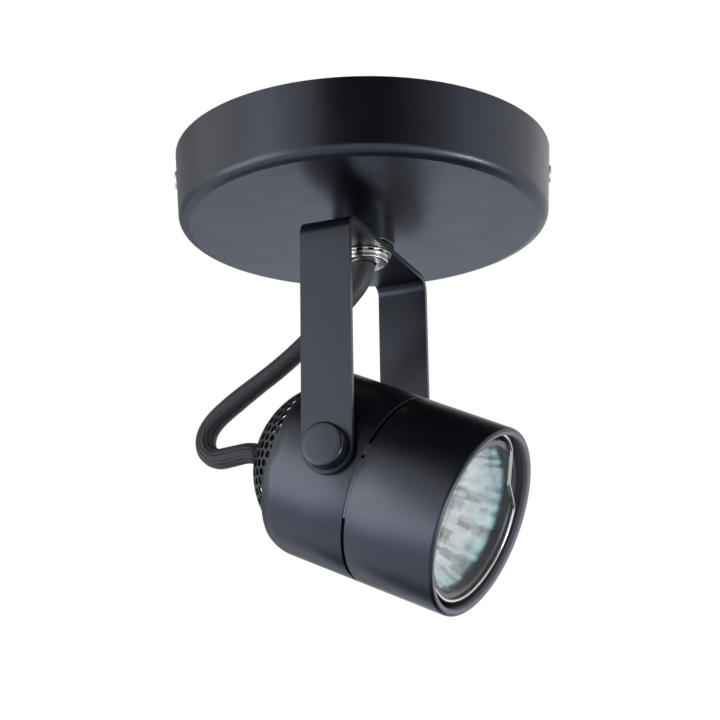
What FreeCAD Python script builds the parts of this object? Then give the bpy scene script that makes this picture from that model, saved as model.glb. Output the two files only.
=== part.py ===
import FreeCAD, Part
import math
import os

# A ceiling spotlight: a round canopy, a short stem, a strap yoke that swivels under it, and a
# tubular head that tilts between the yoke's arms. Lengths are millimetres, angles are degrees.
# The origin is the centre of the canopy's open rim, on the ceiling. +Z is up, the head points
# towards +X and down, and the tilt axis runs along Y.

Vector = FreeCAD.Vector
FULL_TURN, HALF_TURN, QUARTER_TURN = 360.0, 180.0, 90.0
touch = 0.001

# Canopy: a pressed cup, open towards the ceiling
canopy_radius = 60.0
canopy_depth = 23.6
canopy_draft = 1.15
canopy_corner = 3.2
canopy_wall = 1.0

# Ceiling bar: a bent strip across the canopy, screwed to the ceiling
bar_azimuth = 22.7
bar_width = 20.0
bar_thickness = 2.0
bar_bend = 1.5
bar_ear = 15.0
bar_gap = 0.2
bar_wire_hole_radius = 7.0
ceiling_hole_inset = 25.0
ceiling_hole_radius = 2.5
bar_slot_place_share = 1 / 3
bar_slot_length_share = 0.2
bar_slot_width = 4.5

# Side screws that hold the canopy to the bar's ears
side_screw_drop = 9.0
side_screw_radius = 2.0
side_screw_length = 8.0
side_screw_head_radius = 3.6
side_screw_head_height = 1.6
side_screw_head_rounding = 1.3

# Earth screw and the clamp washer under its head
earth_screw_inset = 14.0
earth_screw_radius = 2.0
earth_head_radius = 3.6
earth_head_height = 2.4
clamp_width = 9.0
clamp_sides = 4
clamp_thickness = 0.8

# Hollow threaded nipple and what it clamps, from the canopy down to the yoke
nipple_radius = 5.0
nipple_bore = 4.0
nipple_chamfer = 0.4
nipple_tail = 2.5
thread_clearance = 0.05
hole_clearance = 0.2
inner_washer_radius = 9.0
inner_washer_thickness = 1.0
lock_nut_flats = 14.0
lock_nut_height = 4.0
lock_nut_corner = 1.0
stem_radius = 9.75
stem_length = 7.7
stem_edge = 0.4
swivel_washer_radius = 9.2
swivel_washer_thickness = 0.5
swivel_gap = 0.1
swivel_bore_clearance = 0.1
yoke_washer_radius = 8.6
yoke_washer_thickness = 0.4
tooth_washer_radius = 8.1
tooth_washer_thickness = 0.9
tooth_count = 14
tooth_gap_width = 1.9
tooth_depth = 0.5
round_nut_radius = 7.5
round_nut_height = 1.6
round_nut_chamfer = 0.4
bushing_bore = 2.6
bushing_length = 5.0
bushing_recess = 3.0
bushing_clearance = 0.05

# Yoke: one strap bent to a U
arm_gap = 0.7
yoke_width = 16.4
yoke_thickness = 1.8
yoke_bend = 3.2
yoke_drop = 72.1
yoke_edge = 0.3

# Pivots: a round-headed screw, friction washer, lock washer and nut at each arm
pivot_radius = 2.0
pivot_clearance = 0.1
pivot_tip = 1.0
knob_radius = 7.0
knob_height = 2.5
knob_rounding = 0.9
knob_gap = 0.1
friction_washer_radius = 6.0
friction_gap = 0.1
lock_washer_radius = 4.0
lock_washer_thickness = 0.8
pivot_nut_flats = 7.0
pivot_nut_height = 3.2
pivot_nut_corner = 0.4

# Head: places along the barrel count from the pivot line, positive towards the lamp's front
head_tilt = 25.5
head_radius = 29.7
head_wall = 1.2
axis_drop = 3.2
seam_place = 11.65
seam_width = 0.9
barrel_front = 42.3
lip_width = 2.4
lip_depth = 1.7
lip_rounding = 1.1
lip_inner_rounding = 0.7
shoulder_place = -15.4
shoulder_radius = 5.7
seat_clearance = 0.08
fit_clearance = 0.05

# Coupling sleeve behind the seam, with two bridges that fill it beside the pivots
sleeve_wall = 0.8
sleeve_overlap = 5.0
bridge_half_angle = 10.0
bridge_hole_radius = 0.5

# Perforated rear cap: a dome, a flange and a skirt
cap_dome_inset = 1.6
cap_height = 20.2
cap_wall = 0.8
cap_skirt = 2.5
hole_rows = 4
perforation_radius = 0.95
perforation_margin = 1.5
perforation_pitch = 3.0
row_pitch = 2.6
perforation_sides = 6
nut_sides = 6

# Grommet in the rear cap, where the sleeve goes in
grommet_angle = 8.0
grommet_hole_radius = 4.2
grommet_bore = 2.5
grommet_flange_radius = 5.6
grommet_flange = 1.5
grommet_chamfer = 0.7
grommet_inner_flange = 1.2

# Lamp
lamp_front = 39.4
lamp_rim_inset = 4.35
lamp_rim_thickness = 2.5
lamp_rim_wall = 2.4
lamp_glass_recess = 2.4
lamp_glass_thickness = 1.0
lamp_glass_ledge = 0.8
lamp_glass_wall = 1.5
lamp_bowl_step = 0.85
lamp_bowl_rings = 5
lamp_neck_place = 3.6
lamp_neck_radius = 10.1
lamp_neck_hole = 5.6
lamp_neck_floor = 2.4
capsule_radius = 4.5
capsule_length = 19.0
base_neck_length = 5.6
base_length = 10.7
base_width = 24.0
base_height = 16.5
base_rounding = 3.0
pin_spacing = 10.0
pin_radius = 1.6
pin_neck = 4.3
pin_head_radius = 2.5
pin_head = 2.8

# Lamp holder, its contacts, plate and screws
holder_gap = 0.1
holder_length = 16.8
holder_width = 28.0
holder_height = 18.0
holder_rounding = 5.0
holder_ear_width = 40.0
holder_ear_thickness = 2.0
holder_ear_height = 10.0
holder_ear_rounding = 4.5
pocket_radius = 2.9
pocket_depth = 8.4
contact_width = 3.4
contact_thickness = 1.3
contact_rounding = 0.8
plate_thickness = 1.0
plate_clearance = 0.5
plate_hole_count = 8
plate_hole_radius = 2.6
plate_hole_inset = 5.5
holder_screw_radius = 1.5
holder_screw_place = 17.0
holder_screw_length = 7.0
holder_head_radius = 2.75
holder_head_height = 2.0

# Snap ring: one bent wire in front of the lamp's rim, its far side sprung behind the lip
ring_wire_radius = 0.55
ring_spring = 1.9
ring_finger_reach = 6.1
ring_corner_step = 0.5
ring_lift = 0.05
ring_finger_angles = (81.0, 51.0, 23.0)
ring_near_angles = (0.0, -25.0, -50.0, -75.0, -100.0)
ring_sprung_angles = (-128.0, -154.0, -180.0)
ring_start_angles = (168.0, 144.0, 120.0, 98.0)

# Cord sleeve: hand-picked points (x, z) in the plane of the stem and the barrel's axis
sleeve_radius = 3.2
cord_points = [
    (-7.8, -49.0),
    (-24.6, -64.2),
    (-44.6, -76.2),
    (-55.0, -83.2),
    (-55.8, -89.5),
    (-51.5, -94.1),
    (-45.4, -94.0),
]
cord_drop = 6.2
cord_lead = 4.2
arc_share = 0.45

cut_overrun = 1.0

# Places along the ceiling bar, from the sizes above
ceiling_hole_place = canopy_radius - ceiling_hole_inset
earth_screw_place = canopy_radius - earth_screw_inset
bar_slot_centre = canopy_radius * bar_slot_place_share
bar_slot_length = canopy_radius * bar_slot_length_share

# Heights down the stem and along the pivots
stem_bottom = -canopy_depth - stem_length
swivel_washer_bottom = stem_bottom - swivel_washer_thickness
web_top = swivel_washer_bottom - swivel_gap
web_bottom = web_top - yoke_thickness
yoke_washer_top = web_bottom - swivel_gap
tooth_washer_top = yoke_washer_top - yoke_washer_thickness
round_nut_top = tooth_washer_top - tooth_washer_thickness
nipple_bottom = round_nut_top - round_nut_height
canopy_floor = -canopy_depth + canopy_wall
lock_nut_bottom = canopy_floor + inner_washer_thickness
nipple_top = lock_nut_bottom + lock_nut_height + nipple_tail
pivot_height = web_top - yoke_drop
arm_inside = head_radius + arm_gap
arm_outside = arm_inside + yoke_thickness
barrel_bore = head_radius - head_wall
lip_bore = head_radius - lip_width
cap_dome_radius = head_radius - cap_dome_inset
dome_centre = shoulder_place - cap_height + cap_dome_radius
plate_front = shoulder_place + cap_skirt + plate_thickness
holder_front = lamp_neck_place - base_length - holder_gap
lamp_rim_radius = head_radius - lamp_rim_inset
lamp_mouth_radius = lamp_rim_radius - lamp_rim_wall
ring_radius = lip_bore - ring_spring
canopy_edge_radius = canopy_radius - canopy_draft


def on_x(point):
    return Vector(point[0], 0, point[1])


def on_y(point):
    return Vector(point[1], point[0], 0)


def on_z(point):
    return Vector(point[1], 0, point[0])


AXES = {"x": (on_x, Vector(1, 0, 0)), "y": (on_y, Vector(0, 1, 0)), "z": (on_z, Vector(0, 0, 1))}


def direction(angle):
    return math.cos(math.radians(angle)), math.sin(math.radians(angle))


def polar(radius, angle):
    across, up = direction(angle)
    return radius * across, radius * up


def bend(centre, radius, begin, end):
    """The middle and the end of an arc, as one step of an outline."""
    stops = [polar(radius, angle) for angle in ((begin + end) / 2, end)]
    return tuple((centre[0] + across, centre[1] + up) for across, up in stops)


def outline(place, start, *steps):
    """A closed face. A step is a point for a straight edge, or two points for an arc."""
    edges = []
    here = place(start)
    for step in steps + (start,):
        if isinstance(step[0], tuple):
            middle, end = place(step[0]), place(step[1])
            edges.append(Part.Arc(here, middle, end).toShape())
        else:
            end = place(step)
            if here.distanceToPoint(end) > touch:
                edges.append(Part.makeLine(here, end))
        here = end
    return Part.Face(Part.Wire(edges))


def turned(axis, start, *steps, angle=FULL_TURN):
    """A lathe form about an axis. Outline points are (place along the axis, radius)."""
    place, line = AXES[axis]
    return outline(place, start, *steps).revolve(Vector(), line, angle)


def ring(axis, low, high, inner, outer):
    return turned(axis, (low, inner), (high, inner), (high, outer), (low, outer))


def rod(axis, low, high, radius):
    return turned(axis, (low, 0), (high, 0), (high, radius), (low, radius))


def prism(axis, low, high, sides, flats):
    """A regular bar along an axis, sized across its flats."""
    place, line = AXES[axis]
    corner = flats / 2 / math.cos(math.pi / sides)
    first = {"x": Vector(0, 0, corner), "y": Vector(corner, 0, 0), "z": Vector(corner, 0, 0)}[axis]
    corners = [FreeCAD.Rotation(line, FULL_TURN * k / sides).multVec(first) for k in range(sides)]
    face = Part.Face(Part.makePolygon(corners + corners[:1]))
    face.translate(line * low)
    return face.extrude(line * (high - low))


def slab(low, high, width, height, rounding):
    """A block along X with rounded corners, centred on the axis."""
    across, up = width / 2 - rounding, height / 2 - rounding

    def place(point):
        return Vector(low, point[0], point[1])
    face = outline(
        place, (across + rounding, -up), (across + rounding, up),
        bend((across, up), rounding, 0, QUARTER_TURN), (-across, up + rounding),
        bend((-across, up), rounding, QUARTER_TURN, HALF_TURN), (-across - rounding, -up),
        bend((-across, -up), rounding, HALF_TURN, HALF_TURN + QUARTER_TURN), (across, -up - rounding),
        bend((across, -up), rounding, -QUARTER_TURN, 0))
    return face.extrude(Vector(high - low, 0, 0))


def moved(shape, x=0, y=0, z=0):
    copy = shape.copy()
    copy.translate(Vector(x, y, z))
    return copy


def spun(shape, axis, angle):
    copy = shape.copy()
    copy.rotate(Vector(), AXES[axis][1], angle)
    return copy


def around(shape, axis, count, first=0):
    return [spun(shape, axis, first + FULL_TURN * k / count) for k in range(count)]


def hex_nut(axis, low, height, flats, bore, corner):
    """A hexagon nut with its corners turned off at both ends."""
    tip = flats / 2 / math.cos(math.pi / nut_sides)
    high = low + height
    turned_off = turned(axis, (low, bore), (high, bore), (high, tip - corner), (high - corner / 2, tip),
                        (low + corner / 2, tip), (low, tip - corner))
    return prism(axis, low, high, nut_sides, flats).common(turned_off)


def tube_path(points, label, least):
    """Straight runs with an arc at each inner point, as large as its two runs allow."""
    edges = []
    radii = []
    here = points[0]
    for before, point, after in zip(points, points[1:], points[2:]):
        come, go = point - before, after - point
        shorter = min(come.Length, go.Length)
        half_turn = come.getAngle(go) / 2
        reach = arc_share * shorter
        radius = reach / math.tan(half_turn)
        come, go = come.normalize(), go.normalize()
        start, end = point - come * reach, point + go * reach
        inward = (go - come).normalize()
        middle = point + inward * (radius / math.cos(half_turn) - radius)
        edges.append(Part.LineSegment(here, start).toShape())
        edges.append(Part.Arc(start, middle, end).toShape())
        radii.append(radius)
        here = end
    edges.append(Part.LineSegment(here, points[-1]).toShape())
    print(label, "bend radii", " ".join("%.1f" % radius for radius in radii), "least wanted %.1f" % least)
    return Part.Wire(edges)


def tube(points, radius, label, least):
    path = tube_path(points, label, least)
    along = (points[1] - points[0]).normalize()
    section = Part.Wire(Part.makeCircle(radius, points[0], along))
    solid = path.makePipeShell([section], True, False)
    wanted = path.Length * math.pi * radius ** 2
    print(label, "length %.1f" % path.Length, "volume %.1f" % solid.Volume, "of %.1f" % wanted)
    return solid


def canopy():
    corner_height = -(canopy_depth - canopy_corner)
    corner_centre = (corner_height, canopy_edge_radius - canopy_corner)
    middle_hole = nipple_radius + hole_clearance
    cup = turned(
        "z", (0, canopy_radius), (corner_height, canopy_edge_radius),
        bend(corner_centre, canopy_corner, QUARTER_TURN, HALF_TURN),
        (-canopy_depth, middle_hole), (canopy_floor, middle_hole), (canopy_floor, corner_centre[1]),
        bend(corner_centre, canopy_corner - canopy_wall, HALF_TURN, QUARTER_TURN),
        (0, canopy_radius - canopy_wall))
    side_holes = rod("x", -canopy_radius - cut_overrun, canopy_radius + cut_overrun,
                     side_screw_radius + hole_clearance)
    return cup.cut(spun(moved(side_holes, z=-side_screw_drop), "z", bar_azimuth))


def canopy_wall_radius(drop):
    """Outside radius of the canopy's wall at a distance below the ceiling."""
    return canopy_radius - canopy_draft * drop / (canopy_depth - canopy_corner)


def ear_reach():
    """Where the outer face of an ear stands, so that its corners clear the canopy's wall."""
    wall = canopy_wall_radius(bar_ear) - canopy_wall
    return math.sqrt(wall ** 2 - (bar_width / 2) ** 2) - bar_gap


def bar_hole(place, radius):
    return moved(rod("z", -bar_thickness - cut_overrun, cut_overrun, radius), x=place)


def ceiling_bar():
    reach = ear_reach()
    outer, inner = bar_bend + bar_thickness, bar_bend

    def place(point):
        return Vector(point[0], -bar_width / 2, point[1])
    centre = (reach - outer, -outer)
    other = (-centre[0], centre[1])
    strip = outline(
        place, (-reach + outer, 0), (reach - outer, 0), bend(centre, outer, QUARTER_TURN, 0),
        (reach, -bar_ear), (reach - bar_thickness, -bar_ear), (reach - bar_thickness, -outer),
        bend(centre, inner, 0, QUARTER_TURN), (-reach + outer, -bar_thickness),
        bend(other, inner, QUARTER_TURN, HALF_TURN), (-reach + bar_thickness, -bar_ear),
        (-reach, -bar_ear), (-reach, -outer), bend(other, outer, HALF_TURN, QUARTER_TURN))
    bar = strip.extrude(Vector(0, bar_width, 0))
    cuts = [bar_hole(0, bar_wire_hole_radius),
            bar_hole(earth_screw_place, earth_screw_radius + thread_clearance)]
    slot_reach = (bar_slot_length - bar_slot_width) / 2
    for side in (-1, 1):
        cuts.append(bar_hole(side * ceiling_hole_place, ceiling_hole_radius))
        slot = Part.makeBox(2 * slot_reach, bar_slot_width, bar_thickness + 2 * cut_overrun)
        slot.translate(Vector(side * bar_slot_centre - slot_reach, -bar_slot_width / 2,
                              -bar_thickness - cut_overrun))
        cuts += [slot] + [bar_hole(side * bar_slot_centre + end * slot_reach, bar_slot_width / 2)
                          for end in (-1, 1)]
    screw_line = rod("x", -reach - cut_overrun, reach + cut_overrun, side_screw_radius + thread_clearance)
    cuts.append(moved(screw_line, z=-side_screw_drop))
    return spun(bar.cut(cuts), "z", bar_azimuth)


def side_screws():
    face = canopy_wall_radius(side_screw_drop - side_screw_head_radius)
    top = face + side_screw_head_height
    centre = (top - side_screw_head_rounding, side_screw_head_radius - side_screw_head_rounding)
    screw = turned(
        "x", (face - side_screw_length, 0), (top, 0), (top, centre[1]),
        bend(centre, side_screw_head_rounding, 0, QUARTER_TURN), (face, side_screw_head_radius),
        (face, side_screw_radius), (face - side_screw_length, side_screw_radius))
    screw = moved(screw, z=-side_screw_drop)
    return Part.makeCompound([spun(screw, "z", bar_azimuth + turn) for turn in (0, HALF_TURN)])


def earth_screw():
    under = -bar_thickness - clamp_thickness
    head = under - earth_head_height
    screw = turned("z", (0, 0), (head, 0), (head, earth_head_radius), (under, earth_head_radius),
                   (under, earth_screw_radius), (0, earth_screw_radius))
    return spun(moved(screw, x=earth_screw_place), "z", bar_azimuth)


def earth_clamp_washer():
    plate = prism("z", -bar_thickness - clamp_thickness, -bar_thickness, clamp_sides, clamp_width)
    hole = rod("z", -bar_thickness - clamp_thickness - cut_overrun, cut_overrun,
               earth_screw_radius + hole_clearance)
    plate = spun(plate, "z", HALF_TURN / clamp_sides).cut(hole)
    return spun(moved(plate, x=earth_screw_place), "z", bar_azimuth)


def stem():
    bore = nipple_radius + hole_clearance
    return turned("z", (-canopy_depth, bore), (stem_bottom, bore), (stem_bottom, stem_radius - stem_edge),
                  (stem_bottom + stem_edge, stem_radius), (-canopy_depth, stem_radius))


def nipple():
    return turned("z", (nipple_bottom, nipple_bore), (nipple_top, nipple_bore),
                  (nipple_top, nipple_radius - nipple_chamfer), (nipple_top - nipple_chamfer, nipple_radius),
                  (nipple_bottom + nipple_chamfer, nipple_radius),
                  (nipple_bottom, nipple_radius - nipple_chamfer))


def inner_washer():
    return ring("z", canopy_floor, lock_nut_bottom, nipple_radius + hole_clearance, inner_washer_radius)


def inner_lock_nut():
    return hex_nut("z", lock_nut_bottom, lock_nut_height, lock_nut_flats,
                   nipple_radius + thread_clearance, lock_nut_corner)


def nipple_bushing():
    low = nipple_bottom + bushing_recess
    return ring("z", low, low + bushing_length, bushing_bore, nipple_bore - bushing_clearance)


def swivel_washer():
    return ring("z", swivel_washer_bottom, stem_bottom, nipple_radius + hole_clearance, swivel_washer_radius)


def yoke_washer():
    return ring("z", tooth_washer_top, yoke_washer_top, nipple_radius + hole_clearance, yoke_washer_radius)


def tooth_washer():
    """A ring that stands on teeth, so that dark gaps show between it and the washer above."""
    body = ring("z", round_nut_top, tooth_washer_top, nipple_radius + hole_clearance, tooth_washer_radius)
    gap = Part.makeBox(tooth_washer_radius, tooth_gap_width, tooth_depth + cut_overrun)
    gap.translate(Vector(nipple_radius + tooth_depth, -tooth_gap_width / 2, tooth_washer_top - tooth_depth))
    return body.cut(around(gap, "z", tooth_count))


def round_nut():
    bore = nipple_radius + thread_clearance
    return turned("z", (nipple_bottom, bore), (round_nut_top, bore), (round_nut_top, round_nut_radius),
                  (nipple_bottom + round_nut_chamfer, round_nut_radius),
                  (nipple_bottom, round_nut_radius - round_nut_chamfer))


def yoke():
    outer = yoke_bend + yoke_thickness
    corner = (arm_outside - outer, web_top - outer)
    other = (-corner[0], corner[1])
    foot = pivot_height - yoke_width / 2

    def place(point):
        return Vector(-yoke_width / 2, point[0], point[1])
    strap = outline(
        place, (-corner[0], web_top), (corner[0], web_top), bend(corner, outer, QUARTER_TURN, 0),
        (arm_outside, foot), (arm_inside, foot), (arm_inside, corner[1]),
        bend(corner, yoke_bend, 0, QUARTER_TURN), (-corner[0], web_bottom),
        bend(other, yoke_bend, QUARTER_TURN, HALF_TURN), (-arm_inside, foot), (-arm_outside, foot),
        (-arm_outside, corner[1]), bend(other, outer, HALF_TURN, QUARTER_TURN))
    strap = strap.extrude(Vector(yoke_width, 0, 0))

    def upright(point):
        return Vector(point[0], -arm_outside - cut_overrun, point[1])
    half = yoke_width / 2
    high = web_top + cut_overrun
    front = outline(upright, (-half, high), (half, high), (half, pivot_height),
                    bend((0, pivot_height), half, 0, -HALF_TURN))
    strap = strap.common(front.extrude(Vector(0, 2 * (arm_outside + cut_overrun), 0)))
    rim = [edge for edge in strap.Edges if edge.Length > yoke_thickness + yoke_edge]
    strap = strap.makeChamfer(yoke_edge, rim)
    pivot = rod("y", -arm_outside - cut_overrun, arm_outside + cut_overrun, pivot_radius + pivot_clearance)
    swivel = rod("z", web_bottom - cut_overrun, web_top + cut_overrun, nipple_radius + swivel_bore_clearance)
    return strap.cut([moved(pivot, z=pivot_height), swivel])


def on_head(shape):
    """From the barrel's own frame, its axis on X, to the tilted head under the yoke."""
    copy = moved(shape, z=-axis_drop)
    copy.rotate(Vector(), Vector(0, 1, 0), head_tilt)
    return moved(copy, z=pivot_height)


def on_pivot(shape):
    """From a frame whose Y axis is the tilt axis to its height under the canopy."""
    return moved(shape, z=pivot_height)


def pivot_hole():
    """The bore for both pivot screws, in the barrel's own frame."""
    reach = head_radius + cut_overrun
    return moved(rod("y", -reach, reach, pivot_radius + pivot_clearance), z=axis_drop)


def pivot_screw(side):
    face = arm_outside + knob_gap
    top = face + knob_height
    tip = lock_washer_face() - lock_washer_thickness - pivot_nut_height - pivot_tip
    corner = (top - knob_rounding, knob_radius - knob_rounding)
    screw = turned("y", (tip, 0), (top, 0), (top, corner[1]), bend(corner, knob_rounding, 0, QUARTER_TURN),
                   (face, knob_radius), (face, pivot_radius), (tip, pivot_radius))
    return on_pivot(screw if side > 0 else spun(screw, "z", HALF_TURN))


def friction_washer(side):
    washer = ring("y", head_radius + fit_clearance, arm_inside - friction_gap,
                  pivot_radius + pivot_clearance, friction_washer_radius)
    return on_pivot(washer if side > 0 else spun(washer, "z", HALF_TURN))


def lock_washer_face():
    """The lock washer's outer face, where its highest edge meets the barrel's curved bore."""
    return math.sqrt(barrel_bore ** 2 - (axis_drop + lock_washer_radius) ** 2) - fit_clearance


def lock_washer(side):
    face = lock_washer_face()
    washer = ring("y", face - lock_washer_thickness, face, pivot_radius + fit_clearance, lock_washer_radius)
    return on_pivot(washer if side > 0 else spun(washer, "z", HALF_TURN))


def pivot_nut(side):
    high = lock_washer_face() - lock_washer_thickness
    nut = hex_nut("y", high - pivot_nut_height, pivot_nut_height, pivot_nut_flats,
                  pivot_radius + thread_clearance, pivot_nut_corner)
    return on_pivot(nut if side > 0 else spun(nut, "z", HALF_TURN))


def rear_housing():
    """A tube whose rear edge is turned in to a shoulder that the cap's dome comes through."""
    front = seam_place - seam_width / 2
    centre = (shoulder_place, head_radius - shoulder_radius)
    shell = turned(
        "x", (front, head_radius), (shoulder_place, head_radius),
        bend(centre, shoulder_radius, QUARTER_TURN, HALF_TURN),
        (centre[0] - shoulder_radius + head_wall, centre[1]),
        bend(centre, shoulder_radius - head_wall, HALF_TURN, QUARTER_TURN), (front, barrel_bore))
    dome = Part.makeSphere(cap_dome_radius + seat_clearance, Vector(dome_centre, 0, 0))
    return on_head(shell.cut([dome, pivot_hole()]))


def front_barrel():
    """A tube with a thick rolled lip round the lamp."""
    back = seam_place + seam_width / 2
    outer = (barrel_front - lip_rounding, head_radius - lip_rounding)
    inner = (barrel_front - lip_inner_rounding, lip_bore + lip_inner_rounding)
    shell = turned(
        "x", (back, head_radius), (outer[0], head_radius), bend(outer, lip_rounding, QUARTER_TURN, 0),
        (barrel_front, inner[1]), bend(inner, lip_inner_rounding, 0, -QUARTER_TURN),
        (barrel_front - lip_depth, lip_bore), (barrel_front - lip_depth, barrel_bore), (back, barrel_bore))
    return on_head(shell)


def coupling_sleeve():
    """A ring inside both tubes, with two bridges that come up through the seam at the pivots."""
    outside = barrel_bore - fit_clearance
    low, high = seam_place - seam_width / 2, seam_place + seam_width / 2
    sleeve = ring("x", low - sleeve_overlap, high + sleeve_overlap, outside - sleeve_wall, outside)
    level = math.degrees(math.asin(axis_drop / head_radius))
    holes = []
    for turn in (QUARTER_TURN - level, level - QUARTER_TURN):
        root = outside - fit_clearance
        pad = turned("x", (low, root), (high, root), (high, head_radius), (low, head_radius),
                     angle=2 * bridge_half_angle)
        sleeve = sleeve.fuse(spun(pad, "x", turn - bridge_half_angle))
        hole = moved(rod("z", outside - sleeve_wall - cut_overrun, head_radius + cut_overrun,
                         bridge_hole_radius), x=seam_place)
        holes.append(spun(hole, "x", turn))
    return on_head(sleeve.cut(holes))


def dome_step(radius, begin, end):
    """An arc of the dome, by the angle between its radius and the rear end of the axis."""
    return bend((dome_centre, 0), radius, HALF_TURN - begin, HALF_TURN - end)


def dome_angle(radius, place):
    return math.degrees(math.acos((dome_centre - place) / radius))


def cap_shell():
    inner_radius = cap_dome_radius - cap_wall
    flange_back, flange_front = shoulder_place, shoulder_place + cap_wall
    skirt = barrel_bore - fit_clearance
    end = dome_angle(cap_dome_radius, flange_back)
    inner_end = dome_angle(inner_radius, flange_front)
    return turned(
        "x", (dome_centre - cap_dome_radius, 0), dome_step(cap_dome_radius, 0, end), (flange_back, skirt),
        (flange_back + cap_skirt, skirt), (flange_back + cap_skirt, skirt - cap_wall),
        (flange_front, skirt - cap_wall), dome_point(inner_radius, inner_end),
        dome_step(inner_radius, inner_end, 0))


def dome_point(radius, angle):
    back, up = polar(radius, angle)
    return dome_centre - back, up


def at_grommet(shape):
    """From a frame with its X axis outwards through the grommet to the barrel's own frame."""
    copy = spun(shape, "y", HALF_TURN - grommet_angle)
    return moved(copy, x=dome_centre)


def perforations():
    """Cutters in staggered rows that run round the dome, square to its surface."""
    edge = math.degrees(math.asin((head_radius - shoulder_radius) / cap_dome_radius))
    cutter = prism("x", -cap_dome_radius - cut_overrun, -cap_dome_radius + cap_wall + cut_overrun,
                   perforation_sides, 2 * perforation_radius)
    slants = [edge - math.degrees((perforation_margin + row * row_pitch) / cap_dome_radius)
              for row in range(hole_rows)]
    last_radius = cap_dome_radius * math.sin(math.radians(slants[-1]))
    count = int(2 * math.pi * last_radius / perforation_pitch)
    rows = []
    for row, slant in enumerate(slants):
        rows += around(spun(cutter, "y", slant), "x", count, row % 2 * HALF_TURN / count)
    return [moved(hole, x=dome_centre) for hole in rows]


def cord_opening():
    return at_grommet(rod("x", cap_dome_radius - cap_wall - cut_overrun, cap_dome_radius + cut_overrun,
                          grommet_hole_radius))


def rear_cap():
    return on_head(cap_shell().cut(cord_opening()).cut(Part.makeCompound(perforations())))


def cord_grommet():
    """A bush with a flange on each side of the cap, shaped to the dome."""
    outer, inner = cap_dome_radius, cap_dome_radius - cap_wall
    face = outer + grommet_flange
    flange_low = math.sqrt(outer ** 2 - grommet_flange_radius ** 2)
    body = turned("x", (inner - grommet_inner_flange, grommet_bore), (face, grommet_bore),
                  (face, grommet_flange_radius - grommet_chamfer),
                  (face - grommet_chamfer, grommet_flange_radius),
                  (flange_low, grommet_flange_radius),
                  (inner - grommet_inner_flange, grommet_flange_radius))
    return on_head(at_grommet(body).cut(cap_shell().cut(cord_opening())))


def bowl_corners(back, front):
    """Corners between a bowl's rings of facets, near a parabola from its back to its front."""
    shares = [ring_index / lamp_bowl_rings for ring_index in range(lamp_bowl_rings + 1)]
    return [(back[0] + (front[0] - back[0]) * share,
             math.sqrt(back[1] ** 2 + (front[1] ** 2 - back[1] ** 2) * share)) for share in shares]


def lamp_reflector():
    """A glass bowl with a thick rim, a recess for the front glass and a hole in its neck."""
    back = lamp_front - lamp_rim_thickness
    glass_back = lamp_front - lamp_glass_recess - lamp_glass_thickness
    floor = lamp_neck_place + lamp_neck_floor
    inside = bowl_corners((floor, lamp_neck_radius - lamp_glass_wall),
                          (glass_back, lamp_mouth_radius - lamp_glass_ledge))
    outside = bowl_corners((lamp_neck_place, lamp_neck_radius), (back, lamp_rim_radius - lamp_bowl_step))
    bowl = turned(
        "x", (lamp_front, lamp_rim_radius), (lamp_front, lamp_mouth_radius), (glass_back, lamp_mouth_radius),
        *reversed(inside), (floor, lamp_neck_hole), (lamp_neck_place, lamp_neck_hole), *outside,
        (back, lamp_rim_radius))
    return on_head(bowl)


def lamp_front_glass():
    high = lamp_front - lamp_glass_recess
    return on_head(rod("x", high - lamp_glass_thickness, high, lamp_mouth_radius - fit_clearance))


def lamp_capsule():
    high = lamp_neck_place + capsule_length
    centre = (high - capsule_radius, 0)
    return on_head(turned("x", (lamp_neck_place, 0), (lamp_neck_place, capsule_radius),
                          (centre[0], capsule_radius), bend(centre, capsule_radius, QUARTER_TURN, 0)))


def lamp_base():
    middle = lamp_neck_place - base_neck_length
    neck = rod("x", middle, lamp_neck_place, lamp_neck_radius)
    block = slab(lamp_neck_place - base_length, middle, base_width, base_height, base_rounding)
    return on_head(neck.fuse(block))


def pin_sides(shape):
    return [moved(shape, y=side * pin_spacing / 2) for side in (-1, 1)]


def lamp_pins():
    high = lamp_neck_place - base_length
    step = high - pin_neck
    pin = turned("x", (high, 0), (high, pin_radius), (step, pin_radius), (step, pin_head_radius),
                 (step - pin_head, pin_head_radius), (step - pin_head, 0))
    return on_head(Part.makeCompound(pin_sides(pin)))


def lamp_holder():
    """A ceramic block with a pocket for each lamp pin and an ear on each side."""
    back = holder_front - holder_length
    ear_front = plate_front + holder_ear_thickness
    block = slab(back, holder_front, holder_width, holder_height, holder_rounding)
    ears = slab(plate_front, ear_front, holder_ear_width, holder_ear_height, holder_ear_rounding)
    pocket = rod("x", holder_front - pocket_depth, holder_front + cut_overrun, pocket_radius)
    screw = rod("x", plate_front - cut_overrun, ear_front + cut_overrun, holder_screw_radius + hole_clearance)
    holes = [moved(screw, y=side * holder_screw_place) for side in (-1, 1)]
    return on_head(block.fuse(ears).cut(pin_sides(pocket) + holes))


def holder_contacts():
    low = holder_front - pocket_depth
    contact = slab(low, low + contact_thickness, contact_width, contact_width, contact_rounding)
    return on_head(Part.makeCompound(pin_sides(contact)))


def holder_plate():
    back = plate_front - plate_thickness
    low, high = back - cut_overrun, plate_front + cut_overrun
    disc = rod("x", back, plate_front, barrel_bore - fit_clearance)
    window = slab(low, high, holder_width + plate_clearance, holder_height + plate_clearance, holder_rounding)
    vent = moved(rod("x", low, high, plate_hole_radius), z=barrel_bore - plate_hole_inset)
    screw = rod("x", low, high, holder_screw_radius + thread_clearance)
    screws = [moved(screw, y=side * holder_screw_place) for side in (-1, 1)]
    vents = around(vent, "x", plate_hole_count, HALF_TURN / plate_hole_count)
    return on_head(disc.cut([window] + vents + screws))


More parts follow.
